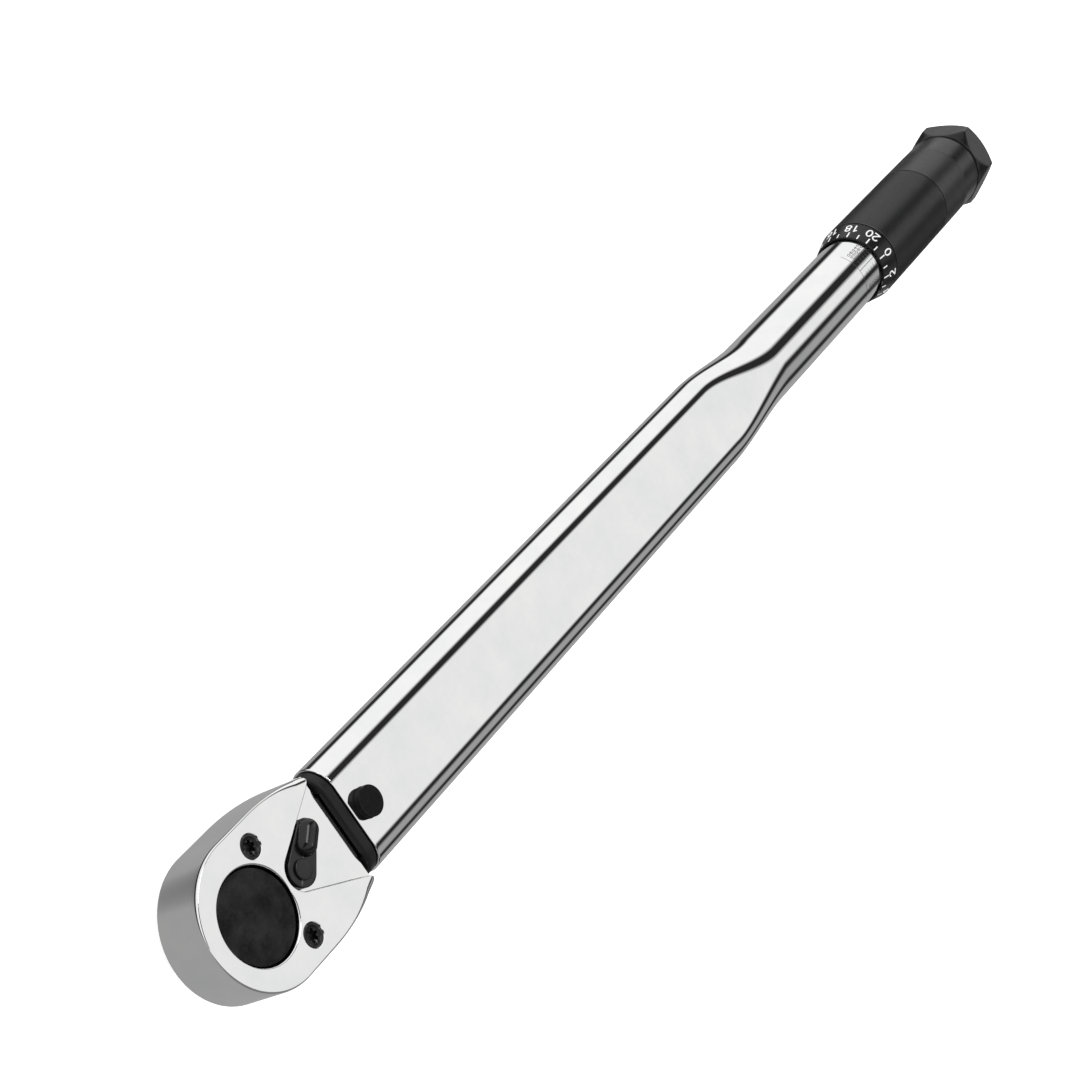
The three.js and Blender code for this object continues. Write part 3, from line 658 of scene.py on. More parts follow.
def ratchet_head():
    made = Surface()
    half = head_rim()
    rim = mirrored(half)
    rows = rim_rows(made, rim)
    made.skin(rows)
    bore_top = bore_rows(made)
    screw_tops = [screw_well(made, x, y) for x, y in SCREW_SPOTS]
    made.fill(rows[0], bore_top[0], *screw_tops)
    split = max(i for i, item in enumerate(half) if item[3] == 0.0)
    walls = lower_rows(made, rows[-1], split)
    underside(made, walls[-1], bore_top[-1])
    return finished_head(made)


def rim_rows(made, rim):
    """The top edge, its rounding, the wall and a small fillet at the pocket's floor."""
    steps = 6
    tops = [top for _, top, _, _ in rim]
    sense = 1 if polygon_area(tops) > 0 else -1
    rows = [made.level(inset(tops, sense * HOLDING_EDGE), 0)]
    for k in range(steps + 1):
        t = math.radians(90 * k / steps)
        row = []
        for foot, top, fall, _ in rim:
            x = top[0] + (foot[0] - top[0]) * math.sin(t)
            y = top[1] + (foot[1] - top[1]) * math.sin(t)
            row.append((x, y, -fall * (1 - math.cos(t))))
        rows.append(made.row(row))
    feet = [foot for foot, _, _, _ in rim]
    outward = [
        (a[0] - b[0], a[1] - b[1]) for a, b in zip(inset(feet, -1.0), feet)
    ]
    turn = -1 if polygon_area(feet) < 0 else 1
    for k in range(4):
        t = math.radians(90 * k / 3)
        row = []
        for (foot, _, _, toe), way in zip(rim, outward):
            spread = turn * toe * (1 - math.cos(t))
            z = -POCKET_DEPTH + toe * (1 - math.sin(t))
            row.append((foot[0] + way[0] * spread, foot[1] + way[1] * spread, z))
        rows.append(made.row(row))
    return rows


def polygon_area(loop):
    pairs = zip(loop, loop[1:] + loop[:1])
    return sum(a[0] * b[1] - a[1] * b[0] for a, b in pairs) / 2


SCREW_SPOTS = [(11.2, 14.9), (11.2, -14.9)]
SCREW_HEAD_RADIUS = 3.4
SCREW_SINK = 0.3
SCREW_SHANK_RADIUS = 1.6
SCREW_SOCKET_RADIUS = 1.72
SCREW_SOCKET_LOBE = 0.34
JOURNAL_RADIUS = 10.2
RECESS_FLOOR = -HEAD_THICKNESS + PLATE_THICKNESS + 0.3


def bore_rows(made):
    """The gear's bore: bevelled rim, straight wall, then the wider chamber below."""
    profile = [
        (BORE_RADIUS + 0.4 + HOLDING_EDGE, 0),
        (BORE_RADIUS + 0.4, 0),
        (BORE_RADIUS + 0.08, -0.22),
        (BORE_RADIUS, -0.5),
        (BORE_RADIUS, -BORE_DEPTH),
        (GEAR_RADIUS + 0.3, -BORE_DEPTH),
        (GEAR_RADIUS + 0.3, RECESS_FLOOR),
    ]
    rows = [made.level(around(128, lambda t, r=r: r), z) for r, z in profile]
    made.skin(rows)
    return rows


SCREW_SHAFT_TOP = -3.2


def screw_well(made, x, y):
    """The countersunk well that one cover screw sits in."""
    well = SCREW_HEAD_RADIUS + 0.15
    profile = [
        (well + 0.2 + HOLDING_EDGE, 0),
        (well + 0.2, 0),
        (well, -0.2),
        (well, -0.75),
        (1.85, -2.8),
        (1.85, SCREW_SHAFT_TOP),
    ]
    rows = [made.level(moved(around(40, lambda t, r=r: r), x, y), z) for r, z in profile]
    made.skin(rows)
    made.fill(rows[-1])
    return rows[0]


def screw_shafts(radius):
    """The two straight holes below the wells, for cutting."""
    return [bar_z(x, y, -HEAD_THICKNESS - 1, SCREW_SHAFT_TOP + 0.1, radius) for x, y in SCREW_SPOTS]


SHOULDER_BEVEL = 0.4


def lower_rows(made, floor_row, split):
    """The pocket's floor and the head's side wall below it, down to the rounded bottom edge."""
    count = len(floor_row)
    front = [floor_row[i % count] for i in range(count - split, count + split + 1)]
    run = [WING_START_X + (SHOULDER_X - SHOULDER_BEVEL - WING_START_X) * k / 4 for k in range(1, 5)]
    near = made.row([(x, flank_y(x), -POCKET_DEPTH) for x in run])
    far = made.row([(x, -flank_y(x), -POCKET_DEPTH) for x in reversed(run)])
    step = -POCKET_DEPTH - SHOULDER_BEVEL
    half = SHOULDER_HALF_WIDTH
    edge = made.row([(SHOULDER_X, half, step), (SHOULDER_X, -half, step)])
    inner = [floor_row[i] for i in range(split, count - split + 1)]
    made.fill(inner + far[::-1] + near[::-1])
    made.face(near[-1], edge[0], edge[1], far[0])
    outline = front + near + edge + far
    return wall_rows(made, outline)


def wall_rows(made, outline):
    """Rows from the side wall's top down to the bottom face, with a rounded bottom edge."""
    flat = [(made.points[i][0], made.points[i][1]) for i in outline]
    sense = 1 if polygon_area(flat) > 0 else -1
    edge = 0.8
    rows = [outline]
    for k in range(7):
        t = math.radians(90 * k / 6)
        loop = inset(flat, sense * edge * (1 - math.cos(t)))
        rows.append(made.level(loop, -HEAD_THICKNESS + edge * (1 - math.sin(t))))
    made.skin(rows)
    return rows


def plate_outline(margin):
    outline = two_lobes(18.9 + margin, 23.2, 8.5 + margin)
    return moved(outline, 0.8)


def underside(made, bottom, chamber):
    """The bottom face with the recess for the cover plate."""
    mouth = made.level(plate_outline(0.35), -HEAD_THICKNESS)
    lip = made.level(plate_outline(0.25), -HEAD_THICKNESS + 0.15)
    floor = made.level(plate_outline(0.25), RECESS_FLOOR)
    made.fill(bottom, mouth)
    made.skin([mouth, lip, floor])
    made.fill(floor, chamber)


def lever_arm():
    """The bar that runs from the head into the tube."""
    root = 10.5
    end = 6.5
    taper_x = PIN_X + 14
    end_x = ARM_END_X
    outline = [
        (SHOULDER_X - 4, -root),
        (taper_x, -root),
        (end_x - 8, -end),
        (end_x, -end),
        (end_x, end),
        (end_x - 8, end),
        (taper_x, root),
        (SHOULDER_X - 4, root),
    ]
    made = Surface()
    half_height = 4.6
    slab(made, outline, AXIS_Z - half_height, AXIS_Z + half_height, 0.6)
    return made


def finished_head(made):
    """The head with its arm joined on, and the pawl's chamber and the pin's hole cut."""
    data = joined(made.mesh("head_body"), lever_arm())
    pawl_top = -4.5
    chamber_low = -16.8
    pawl_front, pawl_back = 12, 18.3
    pawl_half_width = 8.8
    plunger_room = 4.9
    block_seat_radius = 3.8
    return cut(
        data,
        block(pawl_front, pawl_back, -pawl_half_width, pawl_half_width, chamber_low, pawl_top),
        bar_z(HUB_X, 0, chamber_low, pawl_top, plunger_room),
        bar_z(HUB_X, 0, pawl_top - 1, 1, LEVER_STEM_RADIUS + 0.2),
        bar_z(PIN_X, 0, -HEAD_THICKNESS, 2, PIN_RADIUS + 0.1, 80),
        bar_z(ARM_END_X + 1, 0, -HEAD_THICKNESS, 2, block_seat_radius),
        *screw_shafts(1.8),
    )


def cover_plate():
    made = Surface()
    bottom = -HEAD_THICKNESS + 0.1
    journal_hole = around(96, lambda t: JOURNAL_RADIUS + 0.3)
    slab(made, plate_outline(0), bottom, bottom + PLATE_THICKNESS, 0.25, [journal_hole])
    return cut(made.mesh("cover_plate_detail"), *screw_shafts(1.75))


def cover_screw(x, y, name):
    """A countersunk screw with a raised rim round a dished face and a six-lobed socket."""
    made = Surface()
    count = 72
    outer = [
        (0, -HEAD_THICKNESS + 0.4),
        (SCREW_SHANK_RADIUS - 0.3, -HEAD_THICKNESS + 0.4),
        (SCREW_SHANK_RADIUS, -HEAD_THICKNESS + 0.7),
        (SCREW_SHANK_RADIUS, -SCREW_SINK - 2.3),
        (SCREW_HEAD_RADIUS, -SCREW_SINK - 0.45),
        (SCREW_HEAD_RADIUS, -SCREW_SINK - 0.2),
        (3.25, -SCREW_SINK - 0.05),
        (3.05, -SCREW_SINK),
        (2.8, -SCREW_SINK - 0.08),
        (2.6, -SCREW_SINK - 0.25),
    ]
    rows = []
    for radius, z in outer:
        loop = around(count, lambda t, r=max(radius, 0.02): r)
        rows.append(made.level(moved(loop, x, y), z))
    for grow, z in ((0.15, -0.27), (0, -0.42), (0, -2.0)):
        radius = SCREW_SOCKET_RADIUS + grow
        loop = around(count, lambda t, r=radius: r + SCREW_SOCKET_LOBE * math.cos(6 * t))
        rows.append(made.level(moved(loop, x, y), z - SCREW_SINK))
    made.skin(rows)
    made.fill(rows[0])
    made.fill(rows[-1])
    return made.mesh(name)


# ---------- gear, drive square and detent ----------
TOOTH_COUNT = 36
STEPS_PER_TOOTH = 10


def tooth_radius(turn):
    """Sloped teeth with narrow tips."""
    pitch = 2 * math.pi / TOOTH_COUNT
    share = abs((turn / pitch + 0.5) % 1 - 0.5)
    rise = min(1.0, max(0.0, (0.4 - share) / 0.28))
    return GEAR_RADIUS - 0.9 + 0.9 * rise


def square_radius(turn, half, corner):
    """A square with rounded corners, as a radius at each angle."""
    turn = (turn + math.pi / 4) % (math.pi / 2) - math.pi / 4
    turn = abs(turn)
    flat = half / math.cos(turn)
    inner = half - corner
    if flat * math.sin(turn) <= inner:
        return flat
    along = math.hypot(inner, inner) * math.cos(math.pi / 4 - turn)
    off = math.hypot(inner, inner) * math.sin(math.pi / 4 - turn)
    return along + math.sqrt(max(0.0, corner * corner - off * off))


def drive_gear():
    made = Surface()
    half = SQUARE_SIDE / 2
    disc = 13.15
    journal = JOURNAL_RADIUS
    top = -1.0
    square_top = -HEAD_THICKNESS - 0.15

    def circle(radius):
        return lambda t: radius

    def square(shrink):
        return lambda t: square_radius(t, half - shrink, 1.5 - shrink / 2)

    sections = [(circle(disc - 0.35), top), (circle(disc - 0.1), top - 0.1), (circle(disc), top - 0.35)]
    sections += [(circle(disc), -3.6), (tooth_radius, -3.6), (tooth_radius, -15)]
    sections += [(circle(journal), -15), (circle(journal), square_top + 0.3)]
    sections += [(circle(journal - 0.3), square_top), (square(0), square_top)]
    end_round = 0.9
    for k in range(7):
        t = math.radians(90 * k / 6)
        shrink = end_round * (1 - math.cos(t))
        sections.append((square(shrink), SQUARE_END + end_round * (1 - math.sin(t))))
    count = TOOTH_COUNT * STEPS_PER_TOOTH
    rows = [made.level(around(count, radius_at), z) for radius_at, z in sections]
    rows.append(made.row([(0, 0, SQUARE_END)]) * count)
    made.skin(rows)
    made.fill(rows[0])
    data = made.mesh("drive_gear_detail")
    bore = bar_x(-10, 2, 0, DETENT_Z, DETENT_RADIUS + 0.1, 48)
    mouth = bar_x(-7, -6.1, 0, DETENT_Z, DETENT_RADIUS + 0.35, 48)
    return cut(data, bore, mouth)


def ball(x, y, z, radius, name, count=48):
    """A ball built from rings."""
    made = Surface()
    steps = count // 2
    profile = []
    for k in range(steps + 1):
        t = math.pi * k / steps
        profile.append((radius * math.sin(t), z + radius * math.cos(t)))
    turned_z(made, profile, x, y, count)
    return made.mesh(name)


# ---------- reversing lever ----------
def reverse_lever():
    made = Surface()
    low = -POCKET_DEPTH + 0.3
    top = 0.3
    slab(made, two_lobes(4.95, LEVER_TIP_DISTANCE, 3.5, 24), low, top, 0.35)
    data = made.mesh("lever_plate")
    boss = Surface()
    boss_radius = 3.0
    boss_low, boss_high = top - 1, top + 0.85
    outline = [(0, boss_low), (boss_radius, boss_low), (boss_radius, boss_high), (0, boss_high)]
    turned_z(boss, softened(outline, [0, 0.3]), count=64)
    stem = Surface()
    stem_low = -13.8
    stem_profile = [
        (0, stem_low),
        (LEVER_STEM_RADIUS - 0.2, stem_low),
        (LEVER_STEM_RADIUS, stem_low + 0.2),
        (LEVER_STEM_RADIUS, low + 1),
        (0, low + 1),
    ]
    turned_z(stem, stem_profile, count=48)
    for tool in (boss, stem, thumb_ridge(top)):
        data = joined(data, tool)
    plunger_bore = bar_x(-4.6, 0.6, 0, -9.5, 1.15)
    data = cut(data, plunger_bore)
    data.transform(turn_about_hub())
    data.name = "reverse_lever_detail"
    return data


def turn_about_hub():
    """From the lever drawn straight back along +X to its place in the pocket."""
    place = Matrix.Translation((HUB_X * MM, 0, 0))
    return place @ Matrix.Rotation(LEVER_ANGLE, 4, "Z")


def thumb_ridge(top):
    """A half-round ridge with rounded ends."""
    made = Surface()
    radius = 3.15
    height = 2.95
    start = 7.0
    length = LEVER_TIP_DISTANCE - start
    rows = [capsule_row(made, start, length, radius, top - 1)]
    steps = 12
    for k in range(steps):
        t = math.radians(90 * k / steps)
        wide = radius * math.cos(t) ** 0.8
        rows.append(capsule_row(made, start, length, wide, top + 0.25 + (height - 0.25) * math.sin(t)))
    made.skin(rows)
    made.fill(rows[0])
    ridge_top = capsule_row(made, start, length, 0.02, top + height)
    made.skin([rows[-1], ridge_top])
    made.fill(ridge_top)
    return made


def capsule_row(made, start, length, radius, z):
    right = arc(start + length, 0, radius, -90, 90, 24)
    left = arc(start, 0, radius, 90, 270, 24)
    return made.level(right + left, z)


# ---------- tube ----------
def slot_point(distance, half_straight, end_radius):
    """The point a distance round a slot shape from its +Y tip."""
    side = 1 if distance >= 0 else -1
    reach = abs(distance)
    quarter = math.pi / 2 * end_radius
    if reach <= quarter:
        turn = reach / end_radius
        return half_straight + end_radius * math.cos(turn), side * end_radius * math.sin(turn)
    if reach <= quarter + 2 * half_straight:
        return half_straight - (reach - quarter), side * end_radius
    turn = math.pi / 2 + (reach - quarter - 2 * half_straight) / end_radius
    return -half_straight + end_radius * math.cos(turn), side * end_radius * math.sin(turn)


def pressed_share(x):
    t = min(1.0, max(0.0, (x - FLAT_END_X) / (ROUND_START_X - FLAT_END_X)))
    return 1 - t * t * (3 - 2 * t)


def tube_row(made, x, radius, count):
    """One section of the tube, pressed flat by the share that holds at x."""
    half_straight = math.pi / 2 * (TUBE_RADIUS - FLAT_THICKNESS / 2) * pressed_share(x)
    end_radius = radius - 2 * half_straight / math.pi
    row = []
    for k in range(count):
        distance = (2 * math.pi * (k + 0.5) / count - math.pi) * radius
        y, z = slot_point(distance, half_straight, end_radius)
        row.append((x, y, z + AXIS_Z))
    return made.row(row)


def tube_stations():
    """Sparse along the straight runs, close together where the section changes."""
    bend = [FLAT_END_X + (ROUND_START_X - FLAT_END_X) * k / 32 for k in range(33)]
    return [60, 120, 180, 240, 290] + bend + [380, 420, 460, 500, 530]


def tube_body():
    made = Surface()
    count = 192
    inner = TUBE_RADIUS - TUBE_WALL
    lip = 0.45
    bore_lip = 0.3
    mouth_back = MOUTH_X + 3
    tail_front = TUBE_END_X - 3
    mouth = softened(
        [(mouth_back, inner), (MOUTH_X, inner), (MOUTH_X, TUBE_RADIUS), (mouth_back, TUBE_RADIUS)],
        [bore_lip, lip],
    )
    tail_outline = [(tail_front, TUBE_RADIUS), (TUBE_END_X, TUBE_RADIUS)]
    tail_outline += [(TUBE_END_X, inner), (tail_front, inner)]
    tail = softened(tail_outline, [lip, bore_lip])
    outer = [(x, TUBE_RADIUS) for x in tube_stations()]
    bore = [(x, inner) for x in reversed(tube_stations())]
    profile = mouth + outer + tail + bore
    rows = [tube_row(made, x, radius, count) for x, radius in profile]
    made.skin(rows + rows[:1])
    pin_hole = bar_z(PIN_X, 0, -HEAD_THICKNESS - 5, 5, PIN_RADIUS + 0.12, 80)
    nut_pins = bar_y(NUT_PIN_X, AXIS_Z, -20, 20, 1.65)
    return cut(made.mesh("tube_detail"), pin_hole, nut_pins)


def pivot_pin():
    made = Surface()
    top = AXIS_Z + FLAT_THICKNESS / 2 + PIN_STAND_OUT
    bottom = AXIS_Z - FLAT_THICKNESS / 2 - PIN_STAND_OUT
    profile = [(0, bottom), (PIN_RADIUS, bottom), (PIN_RADIUS, top), (0, top)]
    turned_z(made, softened(profile, 0.35), PIN_X, 0, 96)
    return made.mesh("pivot_pin_detail")


def slot_radius(turn, half_width, half_height):
    """A slot shape as a radius at each angle from +Y."""
    straight = half_width - half_height
    c = abs(math.cos(turn))
    s = abs(math.sin(turn))
    if s > TINY and half_height / s * c <= straight:
        return half_height / s
    return straight * c + math.sqrt(max(0.0, half_height**2 - (straight * s) ** 2))


def rect_radius(turn, half_width, half_height):
    c = max(abs(math.cos(turn)), TINY)
    s = max(abs(math.sin(turn)), TINY)
    return min(half_width / c, half_height / s)


def dust_seal():
    """A rubber collar with a rounded flange over the tube's end and an opening for the arm.

    Its widths and heights are halves.
    """
    made = Surface()
    count = 180
    start = SHOULDER_X + 0.9
    end = MOUTH_X - 0.3
    plug_end = 48.15
    edge = 1.0
    flange_width, flange_height = 17.2, 7.6
    plug_width, plug_height = 15.4, 5.75
    opening_width, opening_height = 11.1, 5.3
    sections = [(start, edge)]
    for k in range(1, 6):
        t = math.radians(90 * k / 5)
        sections.append((start + edge * (1 - math.cos(t)), edge * (1 - math.sin(t))))
    sections += [(end - 0.3, 0), (end, 0.3)]
    rows = []
    for x, shrink in sections:
        loop = around(count, lambda t, d=shrink: slot_radius(t, flange_width - d, flange_height - d))
        rows.append(made.section(loop, x))
    for x, trim in ((end, 0.0), (plug_end - 0.35, 0.0), (plug_end, 0.3)):
        loop = around(count, lambda t, d=trim: slot_radius(t, plug_width - d, plug_height - d))
        rows.append(made.section(loop, x))
    for x in (plug_end, start):
        loop = around(count, lambda t: rect_radius(t, opening_width, opening_height))
        rows.append(made.section(loop, x))
    made.skin(rows + rows[:1])
    return made.mesh("dust_seal_detail")


# ---------- handle ----------
SLEEVE_BORE = TUBE_RADIUS + 0.3


def cone_radius(x):
    share = (x - THIMBLE_START_X) / (THIMBLE_END_X - 0.6 - THIMBLE_START_X)
    return THIMBLE_FRONT_RADIUS + (GRIP_RADIUS - THIMBLE_FRONT_RADIUS) * share


def scale_thimble():
    made = Surface()
    outline = [
        (THIMBLE_END_X, SLEEVE_BORE + 1),
        (THIMBLE_END_X, SLEEVE_BORE),
        (THIMBLE_START_X, SLEEVE_BORE),
        (THIMBLE_START_X, THIMBLE_FRONT_RADIUS),
        (THIMBLE_END_X - 0.6, GRIP_RADIUS),
        (THIMBLE_END_X, GRIP_RADIUS - 0.4),
        (THIMBLE_END_X, SLEEVE_BORE + 1),
    ]
    turned_x(made, softened(outline, [0, 0.2, 0.45, 0.3, 0.2]), 160)
    return made.mesh("scale_thimble_detail")


def knurl_depth(x, start, end, depth):
    """How deep the knurl runs, fading out at the ends of its band."""
    fade = min(x - start, end - x) / 0.3
    return depth * min(1.0, max(0.0, fade))


def knurled(made, start, end, pitch, depth):
    """Rows of a band of fine rings, cut across by shallower lines along the grip."""
    columns = 2 * round(math.pi * GRIP_RADIUS / pitch) * 2
    lines = 2 * round((end - start) / pitch)
    rows = []
    for i in range(lines + 1):
        x = start + (end - start) * i / lines
        deep = knurl_depth(x, start, end, depth)
        loop = []
        for k in range(columns):
            ring = 0.7 * deep if i % 2 == 0 else 0.0
            cross = 0.3 * deep if k % 2 == 0 else 0.0
            radius = GRIP_RADIUS - ring - cross
            turn = 2 * math.pi * k / columns
            loop.append((x, radius * math.cos(turn), AXIS_Z + radius * math.sin(turn)))
        rows.append(made.row(loop))
    return rows, columns


def grip_band(name, start, end, pitch, depth):
    """A knurled band with a plain wall behind it that closes it on the sleeve."""
    made = Surface()
    rows, columns = knurled(made, start, end, pitch, depth)
    back = GRIP_RADIUS - 1.2
    for x, at_end in ((start, False), (end, True)):
        wall = made.section(around(columns, lambda t: back), x)
        if at_end:
            rows.append(wall)
        else:
            rows.insert(0, wall)
    made.skin(rows + rows[:1])
    return made.mesh(name)


def grip_core():
    """The sleeve under the knurled bands, with its smooth rear band, grooves and counterbore."""
    made = Surface()
    core = GRIP_RADIUS - 1.0
    web_front, web_back = 558, 570
    web_bore = 8.3
    counterbore = 12.5
    groove = GRIP_RADIUS - 0.55
    plain = GRIP_RADIUS - 0.05
    outline = [
        (GRIP_START_X, SLEEVE_BORE),
        (GRIP_START_X, core),
        (GRIP_GROOVE_X - 0.8, core),
        (GRIP_GROOVE_X - 0.8, groove),
        (GRIP_GROOVE_X + 0.8, groove),
        (GRIP_GROOVE_X + 0.8, core),
        (GRIP_BAND_END_X + 0.02, core),
        (GRIP_BAND_END_X + 0.02, plain),
        (GRIP_END_X, plain),
        (GRIP_END_X, counterbore),
        (web_back, counterbore),
        (web_back, web_bore),
        (web_front, web_bore),
        (web_front, SLEEVE_BORE),
        (GRIP_START_X, SLEEVE_BORE),
    ]
    radii = [0, 0, 0, 0, 0, 0, 0.15, 0.5, 0.3, 0, 0.2, 0.2, 0]
    turned_x(made, softened(outline, radii), 160)
    return made.mesh("grip_sleeve_detail")


def grip_shadow_rings():
    """Black rings that paint the shadow in the grip's gaps: between its knurled bands, and where it
    meets the knob.
    """
    made = Surface()
    inner = GRIP_RADIUS - 1.0
    for start, end in ((GRIP_GROOVE_X - 0.4, GRIP_GROOVE_X + 0.4), (GRIP_END_X - 0.1, KNOB_START_X)):
        outer = GRIP_RADIUS - 0.25
        turned_x(made, [(start, inner), (start, outer), (end, outer), (end, inner)], 160, closed=True)
    return made.mesh("grip_shadow_rings")


def hexagon_radius(turn, apothem):
    turn = (turn - KNOB_ROLL) % (math.pi / 3) - math.pi / 6
    return apothem / math.cos(turn)


def smooth_lower(a, b, blend):
    """The lower of two numbers, with the change from one to the other rounded off."""
    h = max(blend - abs(a - b), 0.0) / blend
    return min(a, b) - h * h * blend / 4


def knob_cone(x):
    if x < KNOB_FLAT_START_X:
        share = (x - KNOB_START_X) / (KNOB_FLAT_START_X - KNOB_START_X)
        return KNOB_FRONT_RADIUS + (KNOB_CORNER_RADIUS - KNOB_FRONT_RADIUS) * share
    if x < KNOB_FLAT_END_X:
        return KNOB_CORNER_RADIUS
    share = (x - KNOB_FLAT_END_X) / (KNOB_END_X - KNOB_FLAT_END_X)
    return KNOB_CORNER_RADIUS + (KNOB_BACK_RADIUS - KNOB_CORNER_RADIUS) * share


def lock_knob():
    """A hexagon with a cone turned on each side, a rounded rim and a shallow dish in its end."""
    made = Surface()
    count = 216
    apothem = KNOB_CORNER_RADIUS * math.cos(math.pi / 6)
    steps = 48
    stud_start = 563
    stud = 4.9
    stud_rows = [(stud_start, stud - 0.3), (stud_start + 0.3, stud), (KNOB_START_X, stud)]
    rows = [made.row([(stud_start, 0, AXIS_Z)]) * count]
    for x, radius in stud_rows + [(KNOB_START_X, 15.8)]:
        rows.append(made.section(around(count, lambda t, r=radius: r), x))
    edge = 0.5
    for k in range(steps + 1):
        x = KNOB_START_X + (KNOB_END_X - KNOB_START_X) * k / steps
        near = min(x - KNOB_START_X, KNOB_END_X - x, edge)
        trim = edge - math.sqrt(max(0.0, edge**2 - (edge - near) ** 2))

        def radius_at(t, x=x, trim=trim):
            return smooth_lower(hexagon_radius(t, apothem), knob_cone(x), 0.35) - trim

        rows.append(made.section(around(count, radius_at), x))
    for x, radius in ((KNOB_END_X, 12.6), (KNOB_END_X - 0.5, 12.0), (KNOB_END_X - 0.6, 6)):
        rows.append(made.section(around(count, lambda t, r=radius: r), x))
    rows.append(made.row([(KNOB_END_X - 0.6, 0, AXIS_Z)]) * count)
    made.skin(rows)
    return made.mesh("lock_knob_detail")


# ---------- scale marks ----------
def curve(cx, cy, rx, ry, start, end, steps=10):
    turns = [math.radians(start + (end - start) * k / steps) for k in range(steps + 1)]
    return [(cx + rx * math.cos(t), cy + ry * math.sin(t)) for t in turns]


# Plain digits as strokes in a cell 0.6 wide and 1 high.
DIGITS = {
    "0": [curve(0.3, 0.5, 0.27, 0.5, 90, 450, 18)],
    "1": [[(0.12, 0.78), (0.34, 1.0), (0.34, 0.0)]],
    "2": [curve(0.3, 0.72, 0.26, 0.28, 165, -35) + [(0.03, 0.0), (0.58, 0.0)]],
    "3": [
        curve(0.29, 0.75, 0.24, 0.25, 160, -90),
        curve(0.29, 0.25, 0.28, 0.25, 90, -160),
    ],
    "4": [[(0.45, 0.0), (0.45, 1.0), (0.02, 0.3), (0.6, 0.3)]],
    "5": [[(0.53, 1.0), (0.1, 1.0), (0.07, 0.56)] + curve(0.3, 0.32, 0.27, 0.32, 120, -150)],
    "6": [
        curve(0.3, 0.3, 0.27, 0.3, 90, 450, 14),
        curve(0.6, 0.3, 0.57, 0.7, 180, 105, 6),
    ],
    "7": [[(0.03, 1.0), (0.57, 1.0), (0.22, 0.0)]],
    "8": [
        curve(0.3, 0.75, 0.23, 0.25, 90, 450, 14),
        curve(0.3, 0.26, 0.27, 0.26, 90, 450, 14),
    ],
    "9": [
        curve(0.3, 0.7, 0.27, 0.3, 90, 450, 14),
        curve(0.0, 0.7, 0.57, 0.7, 0, -75, 6),
    ],
}
CELL = 0.78


def ribbon(made, stroke, width, on_surface, low, high):
    """A flat band along a stroke, standing from low to high over a surface."""
    left = []
    right = []
    for i, point in enumerate(stroke):
        here = Vector(point)
        ahead = Vector(stroke[min(i + 1, len(stroke) - 1)]) - here
        behind = here - Vector(stroke[max(i - 1, 0)])
        ways = [v.normalized() for v in (ahead, behind) if v.length > TINY]
        way = sum(ways, Vector((0, 0))).normalized()
        stretch = 1 / max(0.6, way.dot(ways[0]))
        side = Vector((-way.y, way.x)) * (width / 2 * stretch)
        tip = Vector((0, 0))
        if len(ways) == 1:
            tip = way * (width / 2 if i else -width / 2)
        left.append(tuple(here + side + tip))
        right.append(tuple(here - side + tip))
    rows = []
    for outline, lift in ((left, low), (left, high), (right, high), (right, low)):
        rows.append(made.row([on_surface(a, b, lift) for a, b in outline]))
    made.skin(rows + rows[:1], closed=False)
    for end in (0, -1):
        made.face(*[row[end] for row in rows])


def dense(stroke, step):
    """A stroke with points added so that it follows a curved surface."""
    out = [stroke[0]]
    for a, b in zip(stroke, stroke[1:]):
        parts = max(1, math.ceil(math.dist(a, b) / step))
        for k in range(1, parts + 1):
            out.append((a[0] + (b[0] - a[0]) * k / parts, a[1] + (b[1] - a[1]) * k / parts))
    return out


def wrapped(radius_at, turn):
    """Maps (x, distance round towards +Y) on to a surface turned about the axis, from an angle."""
    middle = math.radians(turn)

    def on_surface(x, around_by, lift):
        radius = radius_at(x)
        here = middle - around_by / radius
        reach = radius + lift
        return (x, reach * math.cos(here), AXIS_Z + reach * math.sin(here))

    return on_surface


def write_number(made, text, base_x, turn, height, width, radius_at, proud):
    """Digits read towards +Y with their tops towards the head, centred on an angle in degrees."""
    start = -(len(text) - 1) * CELL / 2 - 0.3
    on_surface = wrapped(radius_at, turn)
    for i, letter in enumerate(text):
        for stroke in DIGITS[letter]:
            points = [(base_x - b * height, (a + start + i * CELL) * height) for a, b in stroke]
            ribbon(made, dense(points, 0.6), width, on_surface, *proud)


def mark(made, x0, turn0, x1, turn1, width, radius_at, proud):
    """A straight mark between two places given by x and angle in degrees."""
    ends = [(x0, 0.0), (x1, radius_at(x1) * math.radians(turn0 - turn1))]
    ribbon(made, dense(ends, 0.6), width, wrapped(radius_at, turn0), *proud)


LABEL_COUNT = 11
LABEL_ZERO_TURN = 93.9


def thimble_marks():
    """White numbers and marks round the thimble, with a shorter mark between each two."""
    made = Surface()
    proud = (-0.1, 0.025)
    base_x = 466.5
    height = 4.1
    mark_start_x = 458.2
    long_end_x = 461.2
    short_end_x = 460.6
    for i in range(LABEL_COUNT):
        turn = LABEL_ZERO_TURN + 360 * i / LABEL_COUNT
        write_number(made, str(2 * i), base_x, turn, height, 0.62, cone_radius, proud)
        mark(made, mark_start_x, turn, long_end_x, turn, 0.55, cone_radius, proud)
        middle = turn + 180 / LABEL_COUNT
        mark(made, mark_start_x, middle, short_end_x, middle, 0.5, cone_radius, proud)
    return made.mesh("thimble_marks")


def round_tube(_x):
    """The tube's round end has one radius all along."""
    return TUBE_RADIUS


